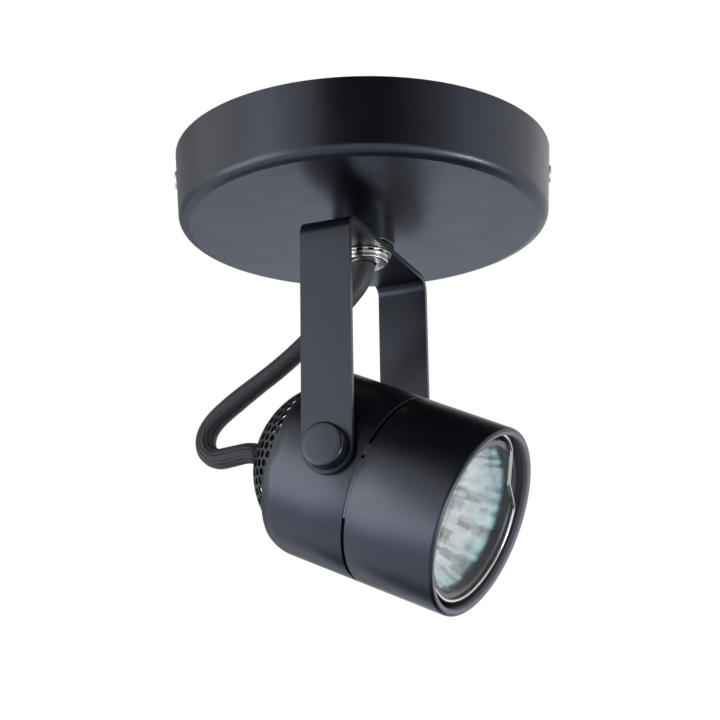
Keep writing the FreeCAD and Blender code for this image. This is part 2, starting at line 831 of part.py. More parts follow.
def holder_screws():
    face = plate_front + holder_ear_thickness
    top, tip = face + holder_head_height, face - holder_screw_length
    screw = turned("x", (top, 0), (top, holder_head_radius), (face, holder_head_radius),
                   (face, holder_screw_radius), (tip, holder_screw_radius), (tip, 0))
    return on_head(Part.makeCompound([moved(screw, y=side * holder_screw_place) for side in (-1, 1)]))


def snap_ring():
    """A wire ring with a finger bent inwards, by which it is pulled out to change the lamp."""
    level = lamp_front + ring_wire_radius + ring_lift
    corner_radius = ring_radius - ring_corner_step
    corner_radii = (corner_radius, ring_radius - ring_finger_reach, corner_radius)
    stops = [(lip_bore, angle) for angle in ring_start_angles[:2]]
    stops += [(ring_radius, angle) for angle in ring_start_angles[2:]]
    stops += list(zip(corner_radii, ring_finger_angles))
    stops += [(ring_radius, angle) for angle in ring_near_angles]
    stops += [(lip_bore, angle) for angle in ring_sprung_angles]
    points = [Vector(level, *polar(radius, angle)) for radius, angle in stops]
    return on_head(tube(points, ring_wire_radius, "snap ring", ring_wire_radius))


def grommet_face():
    """The middle of the grommet's outer face, and the direction outwards, under the canopy."""
    outwards = Vector(1, 0, 0)
    ends = []
    for reach in (cap_dome_radius + grommet_flange, cap_dome_radius + grommet_flange + cord_lead):
        point = Part.Vertex(outwards * reach)
        ends.append(on_head(at_grommet(point)).Point)
    return ends


def cord_route():
    face, lead = grommet_face()
    start = Vector(0, 0, nipple_bottom + bushing_recess)
    first = Vector(0, 0, nipple_bottom + bushing_recess - cord_drop)
    return [start, first] + [Vector(x, 0, z) for x, z in cord_points] + [lead, face]


def cord_sleeve():
    return tube(cord_route(), sleeve_radius, "cord sleeve", sleeve_radius)


ROOT_PARTS = [canopy, ceiling_bar, side_screws, earth_screw, earth_clamp_washer, stem, nipple, inner_washer,
              inner_lock_nut, nipple_bushing, swivel_washer, yoke_washer, tooth_washer, round_nut]
YOKE_PARTS = [yoke, cord_sleeve]
HEAD_PARTS = [rear_housing, front_barrel, coupling_sleeve, rear_cap, cord_grommet, holder_plate, lamp_holder,
              holder_contacts, holder_screws, lamp_base, lamp_pins, lamp_reflector, lamp_capsule,
              lamp_front_glass, snap_ring]
PIVOT_PARTS = [pivot_screw, friction_washer, lock_washer, pivot_nut]


def build():
    os.makedirs("parts", exist_ok=True)
    shapes = {make.__name__: make() for make in ROOT_PARTS + YOKE_PARTS + HEAD_PARTS}
    for make in PIVOT_PARTS:
        for side, name in ((-1, "right"), (1, "left")):
            shapes[make.__name__ + "_" + name] = make(side)
    for name, shape in shapes.items():
        print(name, "solids", len(shape.Solids), "valid", shape.isValid(), "volume %.1f" % shape.Volume)
        shape.exportStep("parts/" + name + ".step")


build()
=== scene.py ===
# %% [markdown]
# # A ceiling spotlight
# A round black canopy sits on the ceiling. A short stem and a bent strap yoke carry a tubular head
# that tilts, with a reflector lamp in front and a perforated dome behind. A soft sleeve brings the
# wires from the hollow stem to the dome. The measured solids are the frame, and each cell below
# gives one piece or one finish its looks.

import math

import bmesh
import bpy
import numpy as np
from mathutils import Matrix, Vector


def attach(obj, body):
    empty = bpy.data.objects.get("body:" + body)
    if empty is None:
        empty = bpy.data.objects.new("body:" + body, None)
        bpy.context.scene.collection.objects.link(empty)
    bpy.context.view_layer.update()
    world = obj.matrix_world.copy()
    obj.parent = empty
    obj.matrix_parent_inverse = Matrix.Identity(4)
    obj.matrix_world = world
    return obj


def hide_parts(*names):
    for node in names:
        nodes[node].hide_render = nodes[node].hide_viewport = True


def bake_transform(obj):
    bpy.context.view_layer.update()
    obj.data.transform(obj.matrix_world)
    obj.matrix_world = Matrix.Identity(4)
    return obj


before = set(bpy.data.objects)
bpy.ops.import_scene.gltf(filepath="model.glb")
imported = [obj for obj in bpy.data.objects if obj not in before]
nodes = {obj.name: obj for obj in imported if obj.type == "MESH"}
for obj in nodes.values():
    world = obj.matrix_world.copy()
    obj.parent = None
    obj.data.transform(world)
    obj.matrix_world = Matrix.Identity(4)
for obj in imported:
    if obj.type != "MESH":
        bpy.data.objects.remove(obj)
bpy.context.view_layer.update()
mm = 0.001

# %% [markdown]
# ## The camera
# The photograph was taken from below and from the right of the stem, with a long lens. Its place
# was worked out from the canopy's outline, the head's outline and the edges of the yoke's arms.
# A camera is easier to read as a turn round the object, a height and a distance than as a matrix,
# so the matrix is built from those here.

# %% Camera
camera_turn = math.radians(22.77)
camera_height = math.radians(-18.362)
camera_roll = math.radians(-0.917)
camera_distance = 681.044 * mm
camera_lens = 108.7
sensor_width = 36.0
aim_point = Vector((0, 0, -60 * mm))
aim_shift = Vector((-1.735 * mm, -8.163 * mm))


def camera_axes():
    level = math.cos(camera_height)
    back = Vector((math.sin(camera_turn) * level, -math.cos(camera_turn) * level, math.sin(camera_height)))
    side = Vector((math.cos(camera_turn), math.sin(camera_turn), 0))
    up = back.cross(side)
    turn, lift = math.cos(camera_roll), math.sin(camera_roll)
    return side * turn + up * lift, up * turn - side * lift, back


camera_side, camera_up, camera_back = camera_axes()
camera_data = bpy.data.cameras.new("camera")
camera_data.sensor_width = sensor_width
camera_data.lens = camera_lens
camera_data.clip_start = 10 * mm
camera = bpy.data.objects.new("camera", camera_data)
aim = aim_point + camera_side * aim_shift.x + camera_up * aim_shift.y
camera.matrix_world = Matrix.Translation(aim + camera_back * camera_distance) @ Matrix(
    (camera_side, camera_up, camera_back)).transposed().to_4x4()
bpy.context.scene.collection.objects.link(camera)
bpy.context.scene.camera = camera
print("camera at", [round(value, 4) for value in camera.matrix_world.translation])

# %% [markdown]
# ## Small helpers for making pieces
# Every finished piece keeps its object at the origin, with its place in its mesh, so that a pattern
# on object coordinates stays where it is. These helpers link an object, give it its finish and the
# body that it moves with, and turn what modifiers or a curve make into a plain mesh. Shading is
# smooth up to an angle, past which an edge stays sharp.

# %% Helpers for pieces
smooth_angle = math.radians(32)
weld_distance = 0.5e-6


def linked(name, data):
    """A new object in the scene."""
    made = bpy.data.objects.new(name, data)
    bpy.context.scene.collection.objects.link(made)
    return made


def add_object(name, mesh, body, material, *replaced):
    piece = linked(name, mesh)
    mesh.materials.clear()
    mesh.materials.append(material)
    if body:
        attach(piece, body)
    if replaced:
        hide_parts(*replaced)
    return piece


def plain_mesh(holder):
    """The mesh that an object's modifiers or curve settings make. The object itself goes."""
    mesh = bpy.data.meshes.new_from_object(holder.evaluated_get(bpy.context.evaluated_depsgraph_get()))
    bpy.data.objects.remove(holder)
    return mesh


def shaded(mesh, angle=smooth_angle):
    mesh.shade_smooth()
    mesh.set_sharp_from_angle(angle=angle)
    return mesh


def mesh_from(name, points, faces, weld=weld_distance):
    """A mesh with welded points and outward faces. A face that repeats another is left out."""
    shape = bmesh.new()
    corners = [shape.verts.new(point) for point in points]
    for face in faces:
        try:
            shape.faces.new([corners[index] for index in face])
        except ValueError:
            continue
    bmesh.ops.remove_doubles(shape, verts=shape.verts, dist=weld)
    bmesh.ops.dissolve_degenerate(shape, edges=shape.edges, dist=weld)
    bmesh.ops.recalc_face_normals(shape, faces=shape.faces)
    mesh = bpy.data.meshes.new(name)
    shape.to_mesh(mesh)
    shape.free()
    return shaded(mesh)


def joined(name, *meshes):
    shape = bmesh.new()
    for mesh in meshes:
        shape.from_mesh(mesh)
    whole = bpy.data.meshes.new(name)
    shape.to_mesh(whole)
    shape.free()
    return whole


print("edges stay sharp past", round(math.degrees(smooth_angle)), "degrees")

# %% [markdown]
# ## Lathe forms
# Most pieces here are round, so they are made as on a lathe: an outline of points, (place along the
# axis, radius) in millimetres, is carried round the axis. A Screw modifier could do it too, but
# then the pieces on the leaning head would need turning. Here a place function puts each point
# where it belongs at once. Doubled points at a pole are welded and the faces turned outwards.

# %% Helpers for lathe forms
round_steps = 192
fine_round_steps = 256


def arc(centre, radius, begin, end, steps=8):
    """Points of an arc, (along, radius), by angles in degrees from the axis direction."""
    turns = [math.radians(begin + (end - begin) * step / steps) for step in range(steps + 1)]
    return [(centre[0] + radius * math.cos(turn), centre[1] + radius * math.sin(turn)) for turn in turns]


def lathe(name, outline, place, steps=round_steps, closed=True, begin=0.0, sweep=360.0):
    """Carries an outline in millimetres round an axis; place puts (along, across, up) in the frame."""
    whole = sweep >= 360.0
    turns = steps if whole else steps + 1
    points = []
    for turn in range(turns):
        angle = math.radians(begin + sweep * turn / steps)
        points += [place(along, radius * math.cos(angle), radius * math.sin(angle))
                   for along, radius in outline]
    rows = len(outline)
    faces = []
    for turn in range(steps):
        here, there = turn * rows, (turn + 1) % turns * rows
        for row in range(rows if closed else rows - 1):
            after = (row + 1) % rows
            faces.append((here + row, here + after, there + after, there + row))
    if closed and not whole:
        faces += [tuple(range(rows)), tuple((turns - 1) * rows + row for row in range(rows))]
    return mesh_from(name, points, faces)


def turned(name, body, material, replaced, outline, place, steps=round_steps, closed=True):
    """A lathe form as a finished piece, in the place of one solid."""
    return add_object(name, lathe(name, outline, place, steps, closed), body, material, replaced)


def under_ceiling(along, across, up):
    """A lathe form on the stem's axis: along is the height."""
    return Vector((across, up, along)) * mm


print("steps round a lathe form", round_steps, "and", fine_round_steps)

# %% [markdown]
# ## The head's own frame
# The head leans 25.5 degrees below the level. Its barrel is easier to describe along its own axis,
# so places on it are given as (along the barrel towards the lamp, across, up), counted from the
# pivot line. The barrel's axis lies 3.2 mm below that line.

# %% The head's frame
head_lean = math.radians(25.5)
pivot_height = -104.0
axis_drop = 3.2
barrel_way = Vector((math.cos(head_lean), 0, -math.sin(head_lean)))
barrel_up = Vector((math.sin(head_lean), 0, math.cos(head_lean)))


def on_head(along, across, up):
    middle = Vector((0, 0, pivot_height)) - barrel_up * axis_drop
    return (middle + barrel_way * along + barrel_up * up + Vector((0, across, 0))) * mm


print("head axis", [round(value, 4) for value in barrel_way])

# %% [markdown]
# ## Finishes
# A finish is a small tree of shader nodes. The helpers below make a Principled shader and let fine
# noise vary its colour, its roughness and its bump, because no real surface is quite even. The
# sizes of the noise are real ones: a powder coat has a skin of shallow bumps less than half a
# millimetre apart, and a turned nut has finer rings.

# %% Helpers for node trees
def wire(tree, made, inputs):
    """Gives a node's inputs plain values or other nodes' outputs."""
    for socket, value in dict(inputs).items():
        if isinstance(value, bpy.types.NodeSocket):
            tree.links.new(value, made.inputs[socket])
        else:
            made.inputs[socket].default_value = value


def node(tree, kind, inputs=(), **settings):
    made = tree.nodes.new(kind)
    for name, value in settings.items():
        setattr(made, name, value)
    wire(tree, made, inputs)
    return made


def new_finish(name, **values):
    """A Principled finish; the names of its inputs are written with underscores."""
    finish = bpy.data.materials.new(name)
    finish.use_nodes = True
    tree = finish.node_tree
    shader = tree.nodes["Principled BSDF"]
    wire(tree, shader, {socket.replace("_", " "): value for socket, value in values.items()})
    return finish, tree, shader


# %% [markdown]
# Noise as it comes stays near the middle of its range, so `spread` stretches the part that it uses.
# Most finishes here let one noise lead both the colour and the roughness, as a patch of wear would.

# %% Helpers for finishes
def noise_on(tree, grain, detail=2.0):
    """Noise on object coordinates, with its grain as a real length in metres."""
    where = node(tree, "ShaderNodeTexCoord")
    noise = node(tree, "ShaderNodeTexNoise", {
        "Vector": where.outputs["Object"], "Scale": 1 / grain, "Detail": detail})
    return noise.outputs["Fac"]


def spread(tree, value, low, high, bottom=0.0, top=1.0):
    """Stretches a pattern between low and high over the range from bottom to top."""
    ranged = node(tree, "ShaderNodeMapRange", {
        "Value": value, "From Min": low, "From Max": high, "To Min": bottom, "To Max": top})
    return ranged.outputs["Result"]


def bumped(tree, shader, height, depth, strength=1.0):
    bump = node(tree, "ShaderNodeBump", {"Height": height, "Distance": depth, "Strength": strength})
    wire(tree, shader, {"Normal": bump.outputs["Normal"]})


def blended_colour(tree, shader, share, first, second):
    """Mixes two colours by a pattern and feeds the shader's base colour."""
    mix = node(tree, "ShaderNodeMix", {0: share, 6: (*first, 1), 7: (*second, 1)}, data_type="RGBA")
    wire(tree, shader, {"Base Color": mix.outputs[2]})


def uneven_finish(name, grain, detail, colours, roughness, used=(0.2, 0.8), **values):
    """A finish whose colour and roughness follow one noise; gives back what a bump needs too."""
    finish, tree, shader = new_finish(name, **values)
    noise = noise_on(tree, grain, detail)
    blended_colour(tree, shader, noise, *colours)
    wire(tree, shader, {"Roughness": spread(tree, noise, *used, *roughness)})
    return finish, tree, shader, noise


# %% [markdown]
# ## Black coating
# The canopy, stem, yoke and head share one satin black coat. It is nearly all gloss and hardly any
# colour, so its look comes from the roughness. A little more gloss than plain plastic, with a cool
# tint, gives the soft light bands. Noise of two sizes varies the roughness and raises the skin.
# Inside the barrel the coat is duller and painted a pale grey: painted light that lifts the
# shade in the bore.

# %% Black coating
coat_patches, coat_grain, coat_skin = 9 * mm, 0.45 * mm, 0.003 * mm
coat_tint = (0.77, 0.83, 1.0, 1)


def make_coating(name, roughness, dark, pale):
    coating, tree, shader, _ = uneven_finish(
        name, coat_patches, 3.0, (dark, pale), (roughness - 0.03, roughness + 0.03), (0.25, 0.75),
        Specular_IOR_Level=0.9, Specular_Tint=coat_tint)
    bumped(tree, shader, noise_on(tree, coat_grain), coat_skin)
    return coating


black_coating = make_coating("black_coating", 0.34, (0.0008, 0.0008, 0.0014), (0.0020, 0.0018, 0.0028))
# a pale grey painted light for the barrel's bore, lifting the shade that falls there
inner_coating = make_coating("inner_coating", 0.55, (0.12, 0.118, 0.132), (0.15, 0.146, 0.162))
print("coats", black_coating.name, inner_coating.name)

# %% [markdown]
# ## Bright metals
# The nut stack under the yoke, the side screws and the snap ring are plated steel. Metal is all
# reflection, so what matters is how sharp it is: the turned nickel is fairly sharp with fine
# rings about its axis, and the zinc of the hidden bar is dull and a little patchy.

# %% Nickel, zinc and brass
metal_patches, metal_grain, metal_skin = 1.6 * mm, 0.3 * mm, 0.002 * mm
ring_density = 900.0
worn_share = 0.86


def make_metal(name, roughness, tint, ringed=False):
    worn = tuple(worn_share * value for value in tint)
    metal, tree, shader, _ = uneven_finish(
        name, metal_patches, 3.0, (tint, worn), (roughness - 0.05, roughness + 0.06), (0.3, 0.7),
        Metallic=1.0)
    if ringed:
        where = node(tree, "ShaderNodeTexCoord")
        rings = node(tree, "ShaderNodeTexWave", {
            "Vector": where.outputs["Object"], "Scale": ring_density, "Distortion": 0.4},
            wave_type="RINGS", rings_direction="Z")
        bumped(tree, shader, rings.outputs["Fac"], metal_skin, 0.6)
    else:
        bumped(tree, shader, noise_on(tree, metal_grain), metal_skin)
    return metal


nickel = make_metal("nickel", 0.2, (0.78, 0.75, 0.70), ringed=True)
dull_nickel = make_metal("dull_nickel", 0.5, (0.86, 0.86, 0.85))
spring_wire = make_metal("spring_wire", 0.16, (0.80, 0.79, 0.77))
zinc_steel = make_metal("zinc_steel", 0.36, (0.56, 0.57, 0.58))
brass_metal = make_metal("brass_metal", 0.26, (0.74, 0.52, 0.24))
print("metals", [metal.name for metal in (nickel, dull_nickel, spring_wire, zinc_steel, brass_metal)])

# %% [markdown]
# ## Moulded and fired pieces
# The bushing, washers and grommet are black plastic, a little duller than the coat. The lamp's
# holder and base are cream ceramic. Its speckle is a noise of which only the top is used, so that
# darker grains lie apart on a pale ground.

# %% Plastic and ceramic
def make_plastic():
    plastic, tree, shader, grain = uneven_finish(
        "black_plastic", 0.25 * mm, 2.0, ((0.008, 0.008, 0.009), (0.014, 0.014, 0.015)), (0.42, 0.52),
        Specular_IOR_Level=0.4)
    bumped(tree, shader, grain, 0.004 * mm)
    return plastic


def make_ceramic():
    ceramic, tree, shader = new_finish("ceramic", Specular_IOR_Level=0.4)
    speckle = noise_on(tree, 0.5 * mm, 4.0)
    blended_colour(tree, shader, spread(tree, speckle, 0.45, 0.7), (0.72, 0.68, 0.58), (0.52, 0.47, 0.38))
    wire(tree, shader, {"Roughness": spread(tree, speckle, 0.2, 0.8, 0.55, 0.7)})
    bumped(tree, shader, speckle, 0.01 * mm)
    return ceramic


black_plastic, ceramic = make_plastic(), make_ceramic()
print("moulded", black_plastic.name, "fired", ceramic.name)

# %% [markdown]
# ## The sleeve with the wires
# A soft sleeve leaves the hollow stem, falls behind the yoke, folds back and goes into the rear
# cap. Its line is a smooth NURBS curve with a few listed points. A curve with a bevel would
# be round all the way, and this sleeve isn't, so the line is only read off as even steps, and the
# next cell lays a mesh along it.

# %% The sleeve's line
sleeve_points = [(0, -33.7), (0, -39.9), (-7.8, -49.0), (-24.6, -64.2), (-44.8, -76.0), (-54.6, -83.2),
                 (-56.3, -90.2), (-52.4, -94.7), (-45.6, -94.1), (-40.38, -93.50), (-36.38, -94.76),
                 (-33.3, -95.7)]
sleeve_step = 0.35 * mm


def nurbs_curve(name, points, fineness):
    """A curve object with the given control points, in metres, that starts and ends at the outer ones."""
    curve = bpy.data.curves.new(name, "CURVE")
    curve.dimensions = "3D"
    curve.resolution_u = fineness
    spline = curve.splines.new("NURBS")
    spline.points.add(len(points) - 1)
    for point, place in zip(spline.points, points):
        point.co = (*place, 1)
    spline.order_u = 3
    spline.use_endpoint_u = True
    return linked(name, curve)


def smooth_line(points):
    mesh = plain_mesh(nurbs_curve("line", points, 24))
    line = [vertex.co.copy() for vertex in mesh.vertices]
    bpy.data.meshes.remove(mesh)
    return line


def even_steps(line, spacing):
    """The same line with points a steady distance apart."""
    lengths = np.concatenate([[0], np.cumsum([(b - a).length for a, b in zip(line, line[1:])])])
    count = max(2, int(round(lengths[-1] / spacing)))
    marks = np.linspace(0, lengths[-1], count + 1)
    places = np.array(line)
    return [Vector([np.interp(mark, lengths, places[:, axis]) for axis in range(3)]) for mark in marks]


sleeve_line = even_steps(smooth_line([(x * mm, 0, z * mm) for x, z in sleeve_points]), sleeve_step)
sleeve_length = sum((b - a).length for a, b in zip(sleeve_line, sleeve_line[1:]))
print("sleeve length in mm", round(sleeve_length / mm, 1), "points", len(sleeve_line))

# %% [markdown]
# The photograph shows the sleeve round where it leaves the stem, flatter on its way down, and wide
# with lengthwise creases where it is folded and comes back. So its section is an oval whose half
# widths, across the bend and in its plane, are given at a few places along the sleeve. Creases are
# shallow waves round the section that come and go along it. The piece's own UV map runs once round
# and down the length, for the braid.

# %% The sleeve's shape
sleeve_spread = [  # share of the length, half width across, half height in the bend's plane, creases
    (0.00, 2.45, 2.45, 0.0), (0.015, 3.0, 3.0, 0.0), (0.028, 3.8, 3.8, 0.0), (0.07, 3.75, 3.75, 0.0),
    (0.14, 3.6, 3.5, 0.0), (0.30, 3.4, 2.95, 0.0), (0.50, 3.6, 3.0, 0.05), (0.60, 3.9, 3.2, 0.1),
    (0.67, 4.2, 3.0, 0.35), (0.72, 4.3, 2.9, 0.9), (0.78, 4.2, 3.15, 1.0), (0.86, 4.0, 3.3, 1.0),
    (0.93, 3.7, 3.3, 0.9), (0.955, 3.3, 3.3, 0.3), (0.97, 2.45, 2.45, 0.0), (1.00, 2.45, 2.45, 0.0)]
sleeve_sides = 96
crease_count = 17
crease_depth = 0.035
weave_length = 20 * mm


def crease(turn, share):
    """Two sets of waves round the sleeve that drift apart along it, from about -1.6 to 1.6."""
    return (math.cos(crease_count * turn + 2.2 * math.sin(7 * share))
            + 0.6 * math.cos((crease_count + 4) * turn - 5 * share))


def sleeve_section(share, here, way):
    table = np.array(sleeve_spread)
    wide, high, creased = [np.interp(share, table[:, 0], table[:, column]) for column in (1, 2, 3)]
    across = Vector((0, 1, 0))
    up = way.cross(across).normalized()
    points = []
    for side in range(sleeve_sides):
        turn = 2 * math.pi * side / sleeve_sides
        scale = 1 - crease_depth * creased * (1 + crease(turn, share))
        points.append(here + (across * wide * math.cos(turn) + up * high * math.sin(turn)) * scale * mm)
    return points


def unwrapped(mesh):
    """Turns the sleeve's faces outwards and lays its UV map."""
    shape = bmesh.new()
    shape.from_mesh(mesh)
    bmesh.ops.recalc_face_normals(shape, faces=shape.faces)
    weave = shape.loops.layers.uv.new("weave")
    for face in shape.faces:
        for loop in face.loops:
            row, side = divmod(loop.vert.index, sleeve_sides)
            if side == 0 and any(other.vert.index % sleeve_sides > sleeve_sides // 2 for other in face.loops):
                side = sleeve_sides
            loop[weave].uv = (side / sleeve_sides, row * sleeve_step / weave_length)
    shape.to_mesh(mesh)
    shape.free()
    mesh.shade_smooth()
    return mesh


def sleeve_mesh():
    last = len(sleeve_line) - 1
    points = []
    for index, here in enumerate(sleeve_line):
        way = (sleeve_line[min(index + 1, last)] - sleeve_line[max(index - 1, 0)]).normalized()
        points += sleeve_section(index / last, here, way)
    faces = []
    for index in range(last):
        low, high = index * sleeve_sides, (index + 1) * sleeve_sides
        for side in range(sleeve_sides):
            after = (side + 1) % sleeve_sides
            faces.append((low + side, low + after, high + after, high + side))
    faces += [tuple(range(sleeve_sides)), tuple(last * sleeve_sides + side for side in range(sleeve_sides))]
    mesh = bpy.data.meshes.new("cord_sleeve_soft")
    mesh.from_pydata(points, [], faces)
    return unwrapped(mesh)


soft_mesh = sleeve_mesh()
print("sleeve faces", len(soft_mesh.polygons))

# %% [markdown]
# The sleeve is a braid of fine yarns. Two sets of diagonal stripes on the piece's own UV map, one
# leaning each way, raise small diamonds, which bend with the sleeve as a pattern in space wouldn't.
# The yarns catch light at grazing angles, which is what the sheen is for.

# %% Braided sleeving
yarn_lean = 0.72
yarn_stripes = 13.0


def make_sleeving():
    sleeving, tree, shader = new_finish("black_sleeving", Specular_IOR_Level=0.5, Sheen_Weight=0.12,
                                        Sheen_Roughness=0.45, Sheen_Tint=(0.8, 0.78, 0.85, 1))
    where = node(tree, "ShaderNodeUVMap", uv_map="weave")
    heights = []
    for lean in (yarn_lean, -yarn_lean):
        leaning = node(tree, "ShaderNodeMapping", {"Vector": where.outputs["UV"], "Rotation": (0, 0, lean)})
        stripes = node(tree, "ShaderNodeTexWave", {
            "Vector": leaning.outputs["Vector"], "Scale": yarn_stripes, "Distortion": 0.3},
            bands_direction="X")
        heights.append(stripes.outputs["Fac"])
    braid = node(tree, "ShaderNodeMath", enumerate(heights), operation="MAXIMUM").outputs[0]
    blended_colour(tree, shader, braid, (0.013, 0.011, 0.015), (0.034, 0.030, 0.038))
    wire(tree, shader, {"Roughness": spread(tree, braid, 0, 1, 0.62, 0.46)})
    bumped(tree, shader, braid, 0.06 * mm, 0.5)
    return sleeving


black_sleeving = make_sleeving()
cord_sleeve = add_object("cord_sleeve_soft", soft_mesh, None, black_sleeving, "cord_sleeve")
print("sleeve", cord_sleeve.name, "in", black_sleeving.name)

# %% [markdown]
# ## Canopy
# The canopy is a pressed steel cup, open towards the ceiling. A cylinder with a bevel would come
# close, but on a lathe outline its wall can lean in a little and each side of the sheet can have
# its own radius. The corner below is rounded, which is what makes the soft light line there.

# %% Canopy
canopy_rim, canopy_foot, canopy_sheet = 60.0, 58.87, 1.0
corner_height, corner_radius, inner_corner = -20.38, 3.0, 2.2
floor_outside, floor_inside, stem_hole = -23.75, -22.6, 5.2
canopy_outline = (
    [(0.0, canopy_rim), (corner_height, canopy_foot)]
    + arc((corner_height, canopy_foot - corner_radius), corner_radius, 90, 160, 14)
    + [(-23.7, 55.53), (floor_outside, 55.35), (floor_outside, 55.1), (floor_outside, 53.0),
       (floor_outside, stem_hole), (floor_inside, stem_hole)]
    + arc((corner_height, 55.6), inner_corner, 180, 90, 10) + [(0.0, canopy_rim - canopy_sheet)])
canopy = turned("canopy_shell", "ceiling_fitting", black_coating, "canopy",
                canopy_outline, under_ceiling, fine_round_steps)
print("canopy faces", len(canopy.data.polygons))

# %% [markdown]
# ## Repeats with Geometry Nodes
# A node tree makes what repeats, because a change of one number then changes every copy. The
# helpers build a tree with named inputs, set the inputs by their identifiers, and turn the
# evaluated result into a plain mesh. The tree ends by making its copies real and giving them their
# material.

# %% Helpers for geometry trees
def new_tree(name, **inputs):
    tree = bpy.data.node_groups.new(name, "GeometryNodeTree")
    tree.interface.new_socket(name="Geometry", in_out="OUTPUT", socket_type="NodeSocketGeometry")
    for label, (kind, value) in inputs.items():
        socket = tree.interface.new_socket(name=label, in_out="INPUT", socket_type="NodeSocket" + kind)
        if value is not None:
            socket.default_value = value
    return tree, tree.nodes.new("NodeGroupInput"), tree.nodes.new("NodeGroupOutput")


def maths(tree, operation, *values):
    return node(tree, "ShaderNodeMath", enumerate(values), operation=operation).outputs[0]


def finish_tree(tree, output, geometry, material):
    real = node(tree, "GeometryNodeRealizeInstances", {0: geometry})
    coated = node(tree, "GeometryNodeSetMaterial", {"Geometry": real.outputs[0], "Material": material})
    wire(tree, output, {0: coated.outputs[0]})


def grown(name, tree, wall=0.0, **values):
    """The plain mesh that a tree makes, with a wall thickness if one is wanted."""
    holder = linked(name, bpy.data.meshes.new(name))
    modifier = holder.modifiers.new("tree", "NODES")
    modifier.node_group = tree
    for socket in tree.interface.items_tree:
        if socket.in_out == "INPUT" and socket.name in values:
            modifier[socket.identifier] = values[socket.name]
    if wall:
        thick = holder.modifiers.new("wall", "SOLIDIFY")
        thick.thickness = wall
        thick.offset = -1
    mesh = plain_mesh(holder)
    mesh.name = name
    return mesh


# %% [markdown]
# Copies round an axis are needed twice, for the two side screws and for the teeth of a washer. The
# tree makes one point for each copy, all on the axis, and turns each copy by its share of a turn.

# %% A ring of copies
def held(mesh):
    """A passing object for a mesh, which a tree copies or a modifier works on."""
    return linked(mesh.name, mesh)


def ring_tree(name):
    """Copies a piece round the Z axis, each turned to face outwards."""
    tree, start, end = new_tree(name, Piece=("Object", None), Count=("Int", 2), First_turn=("Float", 0.0),
                                Material=("Material", None))
    piece = node(tree, "GeometryNodeObjectInfo", {"Object": start.outputs["Piece"]})
    spots = node(tree, "GeometryNodePoints", {"Count": start.outputs["Count"]})
    index = node(tree, "GeometryNodeInputIndex").outputs[0]
    share = maths(tree, "DIVIDE", index, start.outputs["Count"])
    turn = maths(tree, "ADD", maths(tree, "MULTIPLY", share, 2 * math.pi), start.outputs["First_turn"])
    facing = node(tree, "ShaderNodeCombineXYZ", {"Z": turn})
    copies = node(tree, "GeometryNodeInstanceOnPoints", {
        "Points": spots.outputs[0], "Instance": piece.outputs["Geometry"], "Rotation": facing.outputs[0]})
    finish_tree(tree, end, copies.outputs[0], start.outputs["Material"])
    return tree


def ring_of(name, mesh, count, material, first_turn=0.0):
    holder = held(mesh)
    copies = grown(name, ring_tree(name), Piece=holder, Count=count, First_turn=first_turn,
                   Material=material)
    bpy.data.objects.remove(holder)
    return shaded(copies)


# %% [markdown]
# ## Side screws
# Two screws hold the canopy to the bar's ears. One round-headed screw is turned on a lathe outline
# and its cross recess is cut with two tapered blocks by booleans, which keep the recess sharp; the
# tree of copies then puts it at both sides.

# %% Side screws
screw_turn = math.radians(22.7)
screw_height, wall_outside = -6.7, 59.6
screw_reach, shank_radius = 8, 2.0
head_rise, head_half, head_edge = 0.75, 2.9, 0.65
recess_half_depth, screw_sides = 0.6, 48
slot_inner, slot_outer = (0.3, 1.2), (0.4, 1.7)


def cut_mesh(mesh, cutter_mesh):
    body, cutter = held(mesh), held(cutter_mesh)
    cut = body.modifiers.new("cut", "BOOLEAN")
    cut.object, cut.operation, cut.solver = cutter, "DIFFERENCE", "EXACT"
    result = plain_mesh(body)
    result.name = mesh.name
    bpy.data.objects.remove(cutter)
    return result


def wedge_block(name, centre, inner, outer, half_length):
    """A block along X whose half sizes change from the inner end to the outer end."""
    points = []
    for along, (wide, high) in ((-half_length, inner), (half_length, outer)):
        points += [Vector((centre[0] + along, centre[1] + wide * a, centre[2] + high * b)) * mm
                   for a, b in ((-1, -1), (1, -1), (1, 1), (-1, 1))]
    return mesh_from(name, points, ((0, 1, 2, 3), (4, 5, 6, 7), (0, 1, 5, 4), (1, 2, 6, 5), (2, 3, 7, 6),
                                    (3, 0, 4, 7)))


def on_side_screw(along, across, up):
    return Vector((along, across, up + screw_height)) * mm


head_top = wall_outside + head_rise
screw_outline = [(wall_outside - screw_reach, 0), (wall_outside - screw_reach, shank_radius),
                 (wall_outside, shank_radius), (wall_outside, head_half),
                 *arc((head_top - head_edge, head_half - head_edge), head_edge, 90, 0), (head_top, 0)]
one_screw = lathe("side_screw", screw_outline, on_side_screw, screw_sides, closed=False)
for inner, outer in ((slot_inner, slot_outer), (slot_inner[::-1], slot_outer[::-1])):
    slot = wedge_block("slot", (head_top, 0, screw_height), inner, outer, recess_half_depth)
    one_screw = cut_mesh(one_screw, slot)
screw_pair = ring_of("side_screws_cross", one_screw, 2, dull_nickel, screw_turn)
side_screws = add_object("side_screws_cross", screw_pair, "ceiling_fitting", dull_nickel, "side_screws")
print("side screws faces", len(side_screws.data.polygons))

# %% [markdown]
# ## Stem and nut stack
# The stem is a short collar under the canopy. Below the yoke come a thin washer, a toothed lock
# washer, a round nut and the end of the hollow nipple. The edges are turned round, which draws
# the fine bright lines that the photograph shows. The washer's teeth are one wedge, repeated.

